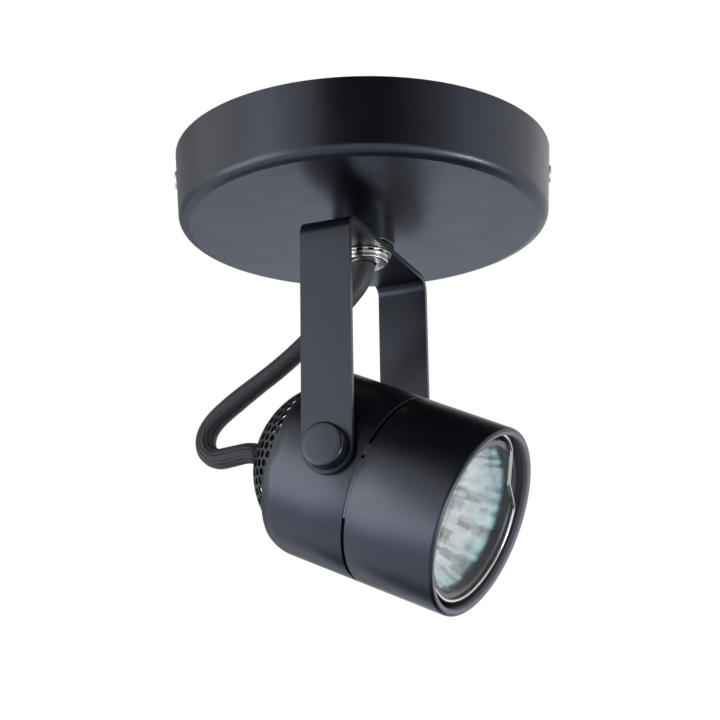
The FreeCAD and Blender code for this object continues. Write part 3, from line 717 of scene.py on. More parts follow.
# %% Stem, washers and nut
bore = 5.2
stem_radius, stem_edge, stem_top, stem_foot = 9.75, 0.5, -23.5, -31.3
stem_outline = ([(stem_top, bore), (stem_top, stem_radius)]
                + arc((stem_foot + stem_edge, stem_radius - stem_edge), stem_edge, 90, 180, 5)
                + [(stem_foot, bore)])
stem = turned("stem_collar", "ceiling_fitting", black_coating, "stem", stem_outline, under_ceiling)


def washer_outline(bottom, top, outer, edge):
    """Outline of a flat ring with rounded rims."""
    return ([(top, bore), (top, outer - edge)] + arc((top - edge, outer - edge), edge, 0, 90, 4)
            + arc((bottom + edge, outer - edge), edge, 90, 180, 4) + [(bottom, bore)])


swivel_washer = turned("swivel_washer_ring", "ceiling_fitting", black_plastic, "swivel_washer",
                       washer_outline(-31.8, -31.3, 8.8, 0.15), under_ceiling)
yoke_washer = turned("yoke_washer_ring", "ceiling_fitting", nickel, "yoke_washer",
                     washer_outline(-34.2, -33.8, 8.6, 0.12), under_ceiling)
tooth_count = 14
tooth = wedge_block("tooth", (6.7, 0, -34.48), (0.35, 0.26), (0.86, 0.26), 1.35)
teeth = ring_of("tooth_washer_teeth", tooth, tooth_count, nickel, math.pi / tooth_count)
tooth_ring = lathe("tooth_washer_ring", washer_outline(-35.1, -34.7, 8.1, 0.1), under_ceiling)
tooth_washer = add_object("tooth_washer_teeth", joined("tooth_washer_teeth", teeth, tooth_ring),
                          "ceiling_fitting", nickel, "tooth_washer")
nut_outline = ([(-35.1, 5.05), (-35.1, 7.5)] + arc((-36.25, 7.05), 0.45, 90, 180, 6)
               + [(-36.7, 6.35), (-36.58, 6.3), (-36.58, 5.05)])
round_nut = turned("round_nut_turned", "ceiling_fitting", nickel, "round_nut", nut_outline, under_ceiling)
print("nut stack faces", [len(piece.data.polygons) for piece in (yoke_washer, tooth_washer, round_nut)])

# %% [markdown]
# The nipple is a threaded tube. A Screw modifier makes a thread as one long strip, whose ends then
# have to be closed by hand. It is simpler to let the radius of a tube rise and fall along a helix:
# a point's groove depends on its height less its share of a turn. Near both ends the radius falls,
# as a chamfer, and a plain bore closes the tube.

# %% Hollow threaded nipple
thread_pitch, thread_depth = 1.0, 0.28
nipple_bottom, nipple_top, nipple_radius, nipple_bore = -36.7, -15.1, 5.0, 4.0
nipple_rows, nipple_sides = 260, 72
chamfer_length, chamfer_depth = 0.4, 0.3


def round_place(radius, share, height):
    turn = 2 * math.pi * share
    return Vector((radius * math.cos(turn), radius * math.sin(turn), height)) * mm


def thread_radius(height, share):
    groove = abs(((height - nipple_bottom) / thread_pitch - share) % 1.0 - 0.5) * 2
    ends = min(1.0, (height - nipple_bottom) / chamfer_length, (nipple_top - height) / chamfer_length)
    return nipple_radius - thread_depth * groove - chamfer_depth * (1 - ends)


def threaded_nipple():
    points, faces = [], []
    shares = [side / nipple_sides for side in range(nipple_sides)]
    for row in range(nipple_rows + 1):
        height = nipple_bottom + (nipple_top - nipple_bottom) * row / nipple_rows
        points += [round_place(thread_radius(height, share), share, height) for share in shares]
    for height in (nipple_top, nipple_bottom):
        points += [round_place(nipple_bore, share, height) for share in shares]
    order = [row * nipple_sides for row in range(nipple_rows + 3)]
    for low, high in zip(order, order[1:] + order[:1]):
        faces += [(low + side, low + (side + 1) % nipple_sides, high + (side + 1) % nipple_sides, high + side)
                  for side in range(nipple_sides)]
    return mesh_from("nipple_threaded", points, faces)


nipple = add_object("nipple_threaded", threaded_nipple(), "ceiling_fitting", nickel, "nipple")
print("nipple faces", len(nipple.data.polygons))

# %% [markdown]
# ## Yoke
# One steel strap is bent twice, and its two ends are round about the pivots. A strip is laid along
# the bent line as a grid of points, narrowing to a half circle at each end. Solidify gives it its
# thickness, and Bevel breaks its edges, as the coating does on the real one.

# %% Yoke
web_top, arm_outside, bend_outside = -31.9, 32.2, 5.0
strap_width, strap_thickness, strap_aside = 16.4, 1.8, 0.42
end_drop = 1.1
strap_edge, strap_edge_angle, strap_smooth_angle = 0.38, math.radians(50), math.radians(40)
end_steps, bend_steps, arm_stops, web_stops, strap_columns = 16, 12, 12, 8, 16


def strap_places():
    """Points up one arm and along to the middle of the web, as (y, z, half width)."""
    half = strap_width / 2
    end_height = pivot_height - end_drop
    bend_side, bend_height = arm_outside - bend_outside, web_top - bend_outside
    places = []
    for share in range(end_steps + 1):
        turn = math.pi / 2 * share / end_steps
        places.append((arm_outside, end_height - half * math.cos(turn), half * math.sin(turn)))
    places += [(arm_outside, height, half) for height in np.linspace(end_height, bend_height, arm_stops)[1:]]
    for share in range(1, bend_steps + 1):
        turn = math.pi / 2 * share / bend_steps
        places.append((arm_outside - bend_outside * (1 - math.cos(turn)),
                       web_top - bend_outside * (1 - math.sin(turn)), half))
    places += [(across, web_top, half) for across in np.linspace(bend_side, 0, web_stops)[1:]]
    return places


def strap_strip():
    """The strap's outer face as a grid, with its faces outwards."""
    one_side = strap_places()
    places = one_side + [(-across, height, half) for across, height, half in reversed(one_side[:-1])]
    shares = [math.sin(math.pi / 2 * (2 * column / strap_columns - 1)) for column in range(strap_columns + 1)]
    points = [Vector((strap_aside + half * share, across, height)) * mm
              for across, height, half in places for share in shares]
    faces = []
    for row in range(len(places) - 1):
        for column in range(strap_columns):
            here = row * (strap_columns + 1) + column
            faces.append((here, here + 1, here + strap_columns + 2, here + strap_columns + 1))
    strip = mesh_from("yoke_strap", points, faces, weld=2e-6)
    middle = min(strip.polygons, key=lambda face: (face.center - Vector((0, 0, web_top * mm))).length)
    if middle.normal.z < 0:
        strip.flip_normals()
    return strip


def yoke_mesh():
    holder = held(strap_strip())
    thick = holder.modifiers.new("thickness", "SOLIDIFY")
    thick.thickness, thick.offset = strap_thickness * mm, -1
    edge = holder.modifiers.new("edges", "BEVEL")
    edge.width, edge.segments, edge.limit_method = strap_edge * mm, 3, "ANGLE"
    edge.angle_limit = strap_edge_angle
    return shaded(plain_mesh(holder), strap_smooth_angle)


yoke = add_object("yoke_strap", yoke_mesh(), "yoke", black_coating, "yoke")
print("yoke faces", len(yoke.data.polygons))

# %% [markdown]
# ## Pivot knobs
# Each arm is held by a screw with a smooth round head. It stands about four millimetres proud of
# the arm, and its rounded rim and slightly domed face catch the light in turn, so both are in its
# lathe outline. Its foot has a small chamfer, which keeps a dark line against the arm.

# %% Pivot knobs
knob_foot, knob_top, knob_radius = 32.3, 36.2, 7.0
knob_chamfer, knob_rounding, knob_sides = 0.5, 0.9, 128
shank_end = 21.6
knob_outline = (
    [(shank_end, 0), (shank_end, shank_radius), (knob_foot, shank_radius),
     (knob_foot, knob_radius - knob_chamfer), (knob_foot + 0.3, knob_radius)]
    + arc((knob_top - knob_rounding, knob_radius - 1.1), knob_rounding, 86, 10)
    + [(knob_top, 4.6), (knob_top + 0.12, 2.3), (knob_top + 0.16, 0)])


def on_knob(side):
    def place(along, across, up):
        return Vector((across + strap_aside, side * along, pivot_height - end_drop + up)) * mm
    return place


for side, name in ((-1, "right"), (1, "left")):
    knob = turned("pivot_knob_" + name, "yoke", black_coating, "pivot_screw_" + name,
                  knob_outline, on_knob(side), knob_sides, closed=False)
print("knob faces", len(knob.data.polygons))

# %% [markdown]
# ## Barrel of the head
# Two tubes make the head: a rear housing whose back edge is drawn in to a round shoulder, and a
# front barrel with a thick rolled lip. Both are lathe forms on the barrel's axis. A tube's wall
# needs an inside too, because the lamp's mouth shows it, and there a duller coat, painted pale
# grey as painted light in the bore's shade, goes on the faces at the bore.

# %% Housing and barrel
head_radius, head_bore = 29.7, 28.5
seam_back, seam_front, seam_rounding = 11.2, 12.1, 0.25
shoulder_place, shoulder_middle, back_edge = -13.5, 19.5, -18.35
barrel_front, lip_back, lip_bore, lip_rounding, lip_inner_rounding = 42.3, 40.6, 27.3, 1.1, 0.7
housing_outline = (
    arc((seam_back - seam_rounding, head_radius - seam_rounding), seam_rounding, 0, 90, 3)
    + [(0, head_radius), (shoulder_place, head_radius)]
    + arc((shoulder_place, shoulder_middle), head_radius - shoulder_middle, 90, 118, 12)
    + [(back_edge, 28.35), (back_edge, 26.2), (back_edge + 1, 26.2)]
    + arc((shoulder_place, shoulder_middle), head_bore - shoulder_middle, 115, 90)
    + [(seam_back, head_bore)])
housing = turned("rear_housing_drawn", "head", black_coating, "rear_housing",
                 housing_outline, on_head, fine_round_steps)
barrel_outline = (
    arc((seam_front + seam_rounding, head_radius - seam_rounding), seam_rounding, 180, 90, 3)
    + [(28, head_radius), (barrel_front - lip_rounding, head_radius)]
    + arc((barrel_front - lip_rounding, head_radius - lip_rounding), lip_rounding, 90, 0)
    + arc((barrel_front - lip_inner_rounding, lip_bore + lip_inner_rounding), lip_inner_rounding, 0, -90, 6)
    + [(lip_back, lip_bore), (lip_back, head_bore), (seam_front, head_bore)])
barrel = turned("front_barrel_lip", "head", black_coating, "front_barrel",
                barrel_outline, on_head, fine_round_steps)


def on_bore(place):
    """True inside the barrel, at or below the radius of its bore."""
    begin, end = on_head(0, 0, 0), on_head(1, 0, 0)
    axis = (end - begin).normalized()
    away = (place - begin) - axis * (place - begin).dot(axis)
    return away.length < (head_bore + 0.05) * mm


# the bore's faces take the coat painted pale grey, painted light in their shade
barrel.data.materials.append(inner_coating)
for face in barrel.data.polygons:
    face.material_index = int(on_bore(face.center))
print("faces inside the barrel", sum(face.material_index for face in barrel.data.polygons))

# %% [markdown]
# Between the two tubes a narrow seam shows the coupling sleeve behind. Beside each pivot the seam
# is filled flush in two pieces with a small notch between them, and below that by a piece set back
# a little. Each filling is part of a turn of a small box outline, and the far side mirrors the near.

# %% Coupling sleeve and what fills the seam
bridge_steps = 24


def box_outline(back, front, inner, outer):
    return [(back, inner), (front, inner), (front, outer), (back, outer)]


flush_outline = box_outline(10.9, 12.4, 28.9, head_radius - 0.01)
sunk_outline = box_outline(11.22, 12.08, 28.3, 29.5)
fillings = [  # first angle and sweep in degrees, outline
    (164.5, 7.6, flush_outline), (174.1, 7.4, flush_outline), (181.5, 29, sunk_outline)]
coupling_parts = [lathe("ring", box_outline(6.2, 17.1, 27.65, 28.45), on_head)]
for start, sweep, outline in fillings:
    for begin in (start, 180 - start - sweep):
        coupling_parts.append(lathe("bridge", outline, on_head, bridge_steps, begin=begin, sweep=sweep))
coupling = add_object("coupling_sleeve_bridges", shaded(joined("coupling_sleeve_bridges", *coupling_parts)),
                      "head", black_coating, "coupling_sleeve")
print("coupling sleeve faces", len(coupling.data.polygons))

# %% [markdown]
# ## Perforated rear cap
# The cap starts as flat perforated sheet, with round holes in a staggered lattice, and is then
# drawn into a dome. Hundreds of boolean cuts would be slow and leave long thin faces, so the node
# tree does as the press does. First it lays out one cell for each hole: rows of points, every
# second row shifted by half a pitch. Each cell is a six-sided frame with a round hole, and the
# cells beside the grommet are plain.

# %% Lattice and cells
hole_corners = 12


def vectors(tree, operation, *values, **more):
    made = node(tree, "ShaderNodeVectorMath", {**dict(enumerate(values)), **more}, operation=operation)
    return made.outputs["Value" if operation == "LENGTH" else "Vector"]


def compared(tree, operation, first, second):
    return node(tree, "FunctionNodeCompare", {"A": first, "B": second}, operation=operation).outputs[0]


def lattice(tree, value, place):
    """Points in staggered rows, out to the reach of the sheet."""
    row_gap = maths(tree, "MULTIPLY", value["Pitch"], math.sqrt(3) / 2)
    last = maths(tree, "SUBTRACT", value["Rows"], 1.0)
    grid = node(tree, "GeometryNodeMeshGrid", {
        "Size X": maths(tree, "MULTIPLY", last, value["Pitch"]),
        "Size Y": maths(tree, "MULTIPLY", last, row_gap),
        "Vertices X": value["Rows"], "Vertices Y": value["Rows"]})
    parts = node(tree, "ShaderNodeSeparateXYZ", {0: place})
    row = maths(tree, "ROUND", maths(tree, "DIVIDE", parts.outputs["Y"], row_gap))
    half_pitch = maths(tree, "MULTIPLY", value["Pitch"], 0.5)
    shift = maths(tree, "MULTIPLY", maths(tree, "PINGPONG", row, 1.0), half_pitch)
    stagger = node(tree, "ShaderNodeCombineXYZ", {"X": shift})
    staggered = node(tree, "GeometryNodeSetPosition", {
        "Geometry": grid.outputs[0], "Offset": stagger.outputs[0]})
    outside = compared(tree, "GREATER_THAN", vectors(tree, "LENGTH", place), value["Reach"])
    return node(tree, "GeometryNodeDeleteGeometry", {"Geometry": staggered.outputs[0], "Selection": outside})


def cell_border(tree, value, place):
    """Carries the points of a round hole out to the border of a six-sided cell."""
    parts = node(tree, "ShaderNodeSeparateXYZ", {0: place})
    around = maths(tree, "ARCTAN2", parts.outputs["Y"], parts.outputs["X"])
    six_waves = maths(tree, "COSINE", maths(tree, "MULTIPLY", around, 6.0))
    corner = maths(tree, "MULTIPLY_ADD", six_waves, -0.5, 0.5)
    flat = maths(tree, "MULTIPLY", value["Pitch"], 0.5)
    stretch = maths(tree, "MULTIPLY", value["Pitch"], 1 / math.sqrt(3) - 0.5)
    edge = maths(tree, "ADD", flat, maths(tree, "MULTIPLY", corner, stretch))
    return vectors(tree, "SCALE", vectors(tree, "NORMALIZE", place), Scale=edge)


def holed_sheet(tree, value, place):
    """A cell on each point of the lattice: with a hole, or plain beside the grommet."""
    border = cell_border(tree, value, place)
    hole = node(tree, "GeometryNodeMeshCircle", {
        "Vertices": hole_corners, "Radius": value["Hole_radius"]})
    rim = node(tree, "GeometryNodeExtrudeMesh", {"Mesh": hole.outputs[0], "Offset Scale": 0.0}, mode="EDGES")
    holed = node(tree, "GeometryNodeSetPosition", {
        "Geometry": rim.outputs["Mesh"], "Selection": rim.outputs["Top"], "Position": border})
    disc = node(tree, "GeometryNodeMeshCircle", {
        "Vertices": hole_corners, "Radius": value["Hole_radius"]}, fill_type="NGON")
    plain = node(tree, "GeometryNodeSetPosition", {"Geometry": disc.outputs[0], "Position": border})
    drop = node(tree, "ShaderNodeCombineXYZ", {"Y": value["Plain_drop"]})
    away = vectors(tree, "LENGTH", vectors(tree, "ADD", place, drop.outputs[0]))
    points = lattice(tree, value, place)
    whole = node(tree, "GeometryNodeJoinGeometry")
    for operation, cell in (("GREATER_THAN", holed), ("LESS_EQUAL", plain)):
        cells = node(tree, "GeometryNodeInstanceOnPoints", {
            "Points": points.outputs[0], "Instance": cell.outputs[0],
            "Selection": compared(tree, operation, away, value["Plain_radius"])})
        wire(tree, whole, {0: cells.outputs[0]})
    return node(tree, "GeometryNodeRealizeInstances", {0: whole.outputs[0]})


print("points round a hole", hole_corners)

# %% [markdown]
# The sheet is drawn into a dome by moving its points: a point's distance from the middle becomes
# its length of arc, so the holes keep their size and only their spacing closes up a little towards
# the rim, as in the real pressing. Neighbouring cells are welded there.

# %% Drawing the dome
cell_weld = 0.02


def drawn_dome(tree, value, place, sheet):
    bend = maths(tree, "DIVIDE", vectors(tree, "LENGTH", place), value["Dome_radius"])
    side = maths(tree, "MULTIPLY", maths(tree, "SINE", bend), value["Dome_radius"])
    back = maths(tree, "MULTIPLY", maths(tree, "COSINE", bend), value["Dome_radius"])
    spread_out = vectors(tree, "SCALE", vectors(tree, "NORMALIZE", place), Scale=side)
    depth = node(tree, "ShaderNodeCombineXYZ", {"Z": back})
    dome = node(tree, "GeometryNodeSetPosition", {
        "Geometry": sheet.outputs[0], "Position": vectors(tree, "ADD", spread_out, depth.outputs[0])})
    return node(tree, "GeometryNodeMergeByDistance", {"Geometry": dome.outputs[0], "Distance": cell_weld})


def cap_tree():
    tree, start, end = new_tree("perforated_cap", Pitch=("Float", 1.0), Hole_radius=("Float", 0.3),
                                Reach=("Float", 10.0), Dome_radius=("Float", 10.0),
                                Plain_radius=("Float", 1.0), Plain_drop=("Float", 1.0),
                                Rows=("Int", 25), Material=("Material", None))
    value = start.outputs
    place = node(tree, "GeometryNodeInputPosition").outputs[0]
    dome = drawn_dome(tree, value, place, holed_sheet(tree, value, place))
    finish_tree(tree, end, dome.outputs[0], value["Material"])
    return tree


print("cells are welded within", cell_weld, "mm")

# %% [markdown]
# The tree works in millimetres with its Z axis rearwards, so its mesh is then carried to the head.
# Solidify gives the sheet its wall. A turned edge closes the cap where it sits in the housing: a
# short piece of the dome, a flange and a skirt.

# %% Rear cap
dome_radius, dome_centre, sheet_reach = 28.1, -7.2, 33.2
hole_pitch, hole_radius, cap_wall = 3.6, 1.36, 0.6
grommet_drop, grommet_plain = 3.92, 6.9
edge_dome_inside = 27.3


def onto_head(mesh):
    """Carries a mesh made with its Z axis rearwards, in millimetres, to its place on the head."""
    for vertex in mesh.vertices:
        across, up, back = vertex.co
        vertex.co = on_head(dome_centre - back, across, up)
    mesh.update()


def faced_outwards(mesh):
    shape = bmesh.new()
    shape.from_mesh(mesh)
    bmesh.ops.recalc_face_normals(shape, faces=shape.faces)
    shape.to_mesh(mesh)
    shape.free()
    return mesh


def dome_points(radius, turns):
    return [(dome_centre - radius * math.cos(math.radians(turn)), radius * math.sin(math.radians(turn)))
            for turn in turns]


cap_sheet = grown("cap_sheet", cap_tree(), wall=cap_wall, Pitch=hole_pitch, Hole_radius=hole_radius,
                  Reach=sheet_reach, Dome_radius=dome_radius, Plain_radius=grommet_plain,
                  Plain_drop=grommet_drop, Rows=25, Material=black_coating)
onto_head(cap_sheet)
cap_edge = (dome_points(dome_radius, (67.0, 69, 71, 73.0))
            + [(-15.4, 28.4), (-12.9, 28.4), (-12.9, 27.65), (-14.6, 27.65), (-14.6, 26.4)]
            + dome_points(edge_dome_inside, (71, 69, 67.0)))
cap_mesh = joined("rear_cap_perforated", faced_outwards(cap_sheet), lathe("cap_edge", cap_edge, on_head, 128))
rear_cap = add_object("rear_cap_perforated", shaded(cap_mesh), "head", black_coating, "rear_cap")
print("rear cap faces", len(cap_mesh.polygons))

# %% [markdown]
# ## Grommet
# A soft black bush lines the cap where the sleeve goes in. It is a lathe form about a line that
# leans eight degrees below the barrel's axis.

# %% Grommet
grommet_lean = math.radians(8)
grommet_sides = 96


def on_grommet(along, across, up):
    back = Vector((-math.cos(grommet_lean), -math.sin(grommet_lean)))
    rise = Vector((-math.sin(grommet_lean), math.cos(grommet_lean)))
    return on_head(dome_centre + back.x * along + rise.x * up, across, back.y * along + rise.y * up)


grommet_outline = ([(26.1, 2.5), (29.3, 2.5), (29.6, 3.0)]
                   + arc((28.6, 4.6), 1.0, 0, 90, 6) + [(27.5, 5.6), (26.1, 5.6)])
grommet = turned("cord_grommet_soft", "head", black_plastic, "cord_grommet",
                 grommet_outline, on_grommet, grommet_sides)
print("grommet faces", len(grommet.data.polygons))

# %% [markdown]
# ## Lamp
# The lamp is a pressed glass bowl with a mirror coat that lets heat through, so its rim looks pale
# teal. A perfect mirror would show only the room, and its facets would melt together. So the coat
# is a half mirror whose colour comes from two values kept on the mesh: the depth in the bowl tints
# it towards the rim, and each facet gets a painted shade, dark, grey or pale at random: a painted
# reflection for the light and dark that facets facing different ways show.

# %% Lamp finishes
def attribute_ramp(tree, attribute, stops, interpolation="LINEAR"):
    """A colour for a value kept on the mesh; stops are (value, colour), in order."""
    where = node(tree, "ShaderNodeAttribute", attribute_name=attribute)
    ramp = node(tree, "ShaderNodeValToRGB", {"Fac": where.outputs["Fac"]})
    ramp.color_ramp.interpolation = interpolation
    elements = ramp.color_ramp.elements
    for index, (position, colour) in enumerate((stops[0], stops[-1])):
        elements[index].position, elements[index].color = position, (*colour, 1)
    for position, colour in stops[1:-1]:
        elements.new(position).color = (*colour, 1)
    return ramp.outputs["Color"]


def make_mirror_coat():
    coat, tree, shader = new_finish("coated_glass", Metallic=0.4)
    deep = attribute_ramp(tree, "depth", [(0.72, (1.0, 1.0, 0.99)), (0.97, (0.52, 0.86, 0.87))])
    # painted reflection: each facet's painted shade, dark, grey or pale, stands for what it reflects
    patch = attribute_ramp(tree, "tone", [(0.0, (0.25, 0.25, 0.24)), (0.2, (0.55, 0.56, 0.55)),
                                          (0.42, (1.0, 1.0, 1.0))], "CONSTANT")
    tinted = node(tree, "ShaderNodeMix", {0: 1.0, 6: deep, 7: patch}, data_type="RGBA", blend_type="MULTIPLY")
    patches = noise_on(tree, 2.2 * mm)
    wire(tree, shader, {
        "Base Color": tinted.outputs[2], "Roughness": spread(tree, patches, 0.3, 0.7, 0.015, 0.05)})
    return coat


def make_clear_glass():
    return uneven_finish("clear_glass", 6 * mm, 2.0, ((0.97, 1.0, 0.99), (0.93, 0.985, 0.975)), (0.0, 0.02),
                         Transmission_Weight=1.0, IOR=1.45, Alpha=0.3)[0]


def make_pressed_glass():
    glass, tree, shader, ripple = uneven_finish(
        "pressed_glass", 3 * mm, 2.0, ((0.035, 0.036, 0.040), (0.075, 0.082, 0.088)), (0.08, 0.2),
        Specular_IOR_Level=0.7)
    bumped(tree, shader, ripple, 0.03 * mm, 0.6)
    return glass


mirror_coat, clear_glass, pressed_glass = make_mirror_coat(), make_clear_glass(), make_pressed_glass()
print("lamp finishes", mirror_coat.name, clear_glass.name, pressed_glass.name)

# %% [markdown]
# Inside the bowl, rings of small flat facets spread the light. A bump map could only shade them,
# so the facets are real: each ring of the bowl is cut into flats, every second ring is turned by
# half a flat, and flat shading keeps their edges crisp. A little unevenness of the corners, from a
# fixed seed, gives each facet its own reflection, as pressed glass has. The rim and the outside
# are one lathe form of darker glass.

# %% Lamp bowl
facets_round, facet_rings, facet_unevenness = 72, 6, 0.07
neck_place, neck_radius, rim_place, rim_radius = 6.0, 8.6, 36.0, 22.15
back_place, back_radius, shell_place, shell_radius = 3.6, 10.1, 36.9, 24.5
base_hole = 5.6


def parabola(along, start, start_radius, end, end_radius):
    share = (along - start) / (end - start)
    return math.sqrt(start_radius ** 2 + (end_radius ** 2 - start_radius ** 2) * share)


def facet_corners(shape):
    """Rings of corners inside the bowl, from the neck to the rim, with their depth."""
    depth = shape.verts.layers.float.new("depth")
    uneven = np.random.default_rng(7).normal(0, facet_unevenness, (facet_rings + 1, facets_round * 2))
    uneven[-1] = 0
    rows = []
    for ring in range(facet_rings + 1):
        along = neck_place + (rim_place - neck_place) * ring / facet_rings
        row = []
        for side in range(facets_round * 2):
            turn = math.pi * side / facets_round
            radius = parabola(along, neck_place, neck_radius, rim_place, rim_radius) + uneven[ring, side]
            corner = shape.verts.new(on_head(along, radius * math.cos(turn), radius * math.sin(turn)))
            corner[depth] = ring / facet_rings
            row.append(corner)
        rows.append(row)
    return rows


def bowl_outside():
    outline = [(rim_place, rim_radius), (rim_place, 22.95), (39.0, 22.95), (39.4, 23.35), (39.4, 24.9),
               (38.95, 25.35), (shell_place, 25.35), (shell_place, shell_radius)]
    outline += [(along, parabola(along, back_place, back_radius, shell_place, shell_radius))
                for along in np.linspace(36.5, back_place, 20)]
    outline += [(back_place, base_hole), (neck_place, base_hole), (neck_place, neck_radius)]
    return lathe("rim", outline, on_head, facets_round * 4, closed=False)


def bowl_mesh():
    shape = bmesh.new()
    rows = facet_corners(shape)
    for ring in range(facet_rings):
        shift = ring % 2
        for side in range(shift, facets_round * 2 + shift, 2):
            low = [rows[ring][(side + extra) % (facets_round * 2)] for extra in (0, 1, 2)]
            high = [rows[ring + 1][(side + extra) % (facets_round * 2)] for extra in (2, 1, 0)]
            shape.faces.new(low + high)
    # a random painted shade for each facet, a painted reflection of light and dark
    tone = shape.faces.layers.float.new("tone")
    painted_facet_shades = np.random.default_rng(3).random(len(shape.faces))
    for face, shade in zip(shape.faces, painted_facet_shades):
        face.smooth = False
        face[tone] = shade
    shape.from_mesh(bowl_outside())
    bmesh.ops.recalc_face_normals(shape, faces=shape.faces)
    mesh = bpy.data.meshes.new("lamp_reflector_facets")
    shape.to_mesh(mesh)
    shape.free()
    return mesh


reflector = add_object("lamp_reflector_facets", bowl_mesh(), "head", mirror_coat, "lamp_reflector")
reflector.data.materials.append(pressed_glass)
for face in reflector.data.polygons:
    face.material_index = int(face.index >= facets_round * facet_rings)
print("lamp facets", facets_round * facet_rings)

# %% [markdown]
# The capsule stands in the middle of the bowl, and a thin disc of glass closes the front. Both are
# clear glass, partly see-through at once, because light bent twice by a thin disc would reach the
# bowl only as noise.

# %% Capsule and front glass
capsule_foot, capsule_shoulder, capsule_radius = 3.6, 18.1, 4.5
capsule_outline = ([(capsule_foot, capsule_radius), (capsule_shoulder, capsule_radius)]
                   + arc((capsule_shoulder, 0), capsule_radius, 90, 8, 12)
                   + [(capsule_shoulder + capsule_radius, 0)])
capsule = turned("lamp_capsule_glass", "head", clear_glass, "lamp_capsule",
                 capsule_outline, on_head, 64, closed=False)
glass_outline = [(36.0, 0), (36.0, 22.6), (36.15, 22.85), (36.85, 22.85), (37.0, 22.6), (37.0, 0)]
front_glass = turned("lamp_front_glass_disc", "head", clear_glass, "lamp_front_glass",
                     glass_outline, on_head, 128, closed=False)
print("glass faces", len(capsule.data.polygons), len(front_glass.data.polygons))

# %% [markdown]
# ## Snap ring
# One bent wire lies in front of the lamp's rim. Its far side springs out behind the barrel's lip,
# and a finger, bent inwards, is there to pull it out. A spline through listed stops is given
# a round section and made a mesh, because the wire is round all the way.

# %% Snap ring
wire_radius, ring_place = 0.55, 40.0
ring_stops = (  # radius in millimetres and angle in degrees
    [(27.5, 168), (27.5, 144), (27.5, 120), (27.4, 102), (26.2, 91), (24.9, 82.5), (24.5, 79.5),
     (19.6, 52.5), (19.4, 51), (19.6, 49.5), (24.6, 24.5), (24.9, 22)]
    + [(25.4, turn) for turn in range(8, -106, -12)]
    + [(26.4, -118), (27.3, -130), (27.3, -154), (27.3, -180)])


def wire_mesh():
    points = []
    for radius, turn in ring_stops:
        angle = math.radians(turn)
        points.append(on_head(ring_place, radius * math.cos(angle), radius * math.sin(angle)))
    holder = nurbs_curve("snap_ring_wire", points, 10)
    holder.data.bevel_depth, holder.data.bevel_resolution = wire_radius * mm, 6
    holder.data.use_fill_caps = True
    mesh = plain_mesh(holder)
    mesh.shade_smooth()
    return mesh


snap_ring = add_object("snap_ring_wire", wire_mesh(), "head", spring_wire, "snap_ring")
print("snap ring faces", len(snap_ring.data.polygons))

# %% [markdown]
# ## Pieces that keep their solid
# The bar, nuts, washers, holder and base are seen only from above or through a gap. Their solids
# have the right shape already, so they just take a finish.

# %% Finishes for the plain solids
solid_finishes = {
    zinc_steel: ["ceiling_bar", "inner_washer", "inner_lock_nut", "lock_washer_right", "lock_washer_left",
                 "pivot_nut_right", "pivot_nut_left", "holder_plate", "holder_screws"],
    brass_metal: ["earth_screw", "earth_clamp_washer", "holder_contacts"],
    black_plastic: ["nipple_bushing", "friction_washer_right", "friction_washer_left"],
    ceramic: ["lamp_holder", "lamp_base"],
    nickel: ["lamp_pins"],
}
for finish, names in solid_finishes.items():
    for name in names:
        nodes[name].data.materials.clear()
        nodes[name].data.materials.append(finish)
print("solids with a finish", sum(len(names) for names in solid_finishes.values()))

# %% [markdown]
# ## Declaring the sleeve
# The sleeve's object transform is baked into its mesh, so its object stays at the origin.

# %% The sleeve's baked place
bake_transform(cord_sleeve)

# %% [markdown]
# ## Pieces by finish
# A table lists which named finish each piece wears. The loop over it leaves the pieces as they are.

# %% Pieces by finish
slots = {
    "black_coating": [canopy, stem, yoke, housing, barrel, rear_cap, coupling],
    "nickel": [side_screws, yoke_washer, tooth_washer, round_nut, snap_ring, nipple],
    "coated_glass": [reflector],
    "clear_glass": [front_glass, capsule],
    "black_plastic": [grommet, swivel_washer],
}
for slot_name, pieces in slots.items():
    for piece in pieces:
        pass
print("pieces in slots", sum(len(pieces) for pieces in slots.values()))

# %% [markdown]
# ## Studio
# The backdrop and floor are plain white. Black gloss shows whatever stands round it, so the studio
# is built for what each ray sees. A ray from the camera, a reflection or a clear glass sees white.
# Other rays meet a softer white, so that the lamps can shape the object. Reflections find a cooler
# floor, which gives the coat its blue.

# %% World and floor
soft_world = 0.62
paper_white, paper_glow = (0.86, 0.86, 0.86, 1), 0.30
cool_floor, cool_glow = (0.79, 0.86, 1.0), 1.04
floor_half, floor_height = 3.0, -0.55


def stage_sheet(name, points, faces, material):
    mesh = bpy.data.meshes.new(name)
    mesh.from_pydata(points, [], faces)
    mesh.materials.append(material)
    sheet = linked(name, mesh)
    return sheet


def seen_rays(tree):
    """1 for a ray from the camera, a reflection or a clear glass."""
    path = node(tree, "ShaderNodeLightPath").outputs
    first = maths(tree, "MAXIMUM", path["Is Camera Ray"], path["Is Glossy Ray"])
    return maths(tree, "MAXIMUM", first, path["Is Transmission Ray"])


def make_world():
    world = bpy.data.worlds.new("studio")
    bpy.context.scene.world = world
    world.use_nodes = True
    tree = world.node_tree
    strength = node(tree, "ShaderNodeMapRange", {
        "Value": seen_rays(tree), "To Min": soft_world, "To Max": 1.0})
    wire(tree, tree.nodes["Background"], {"Color": (1, 1, 1, 1), "Strength": strength.outputs["Result"]})


def glow(tree, colour, strength):
    return node(tree, "ShaderNodeEmission", {"Color": (*colour, 1), "Strength": strength}).outputs[0]


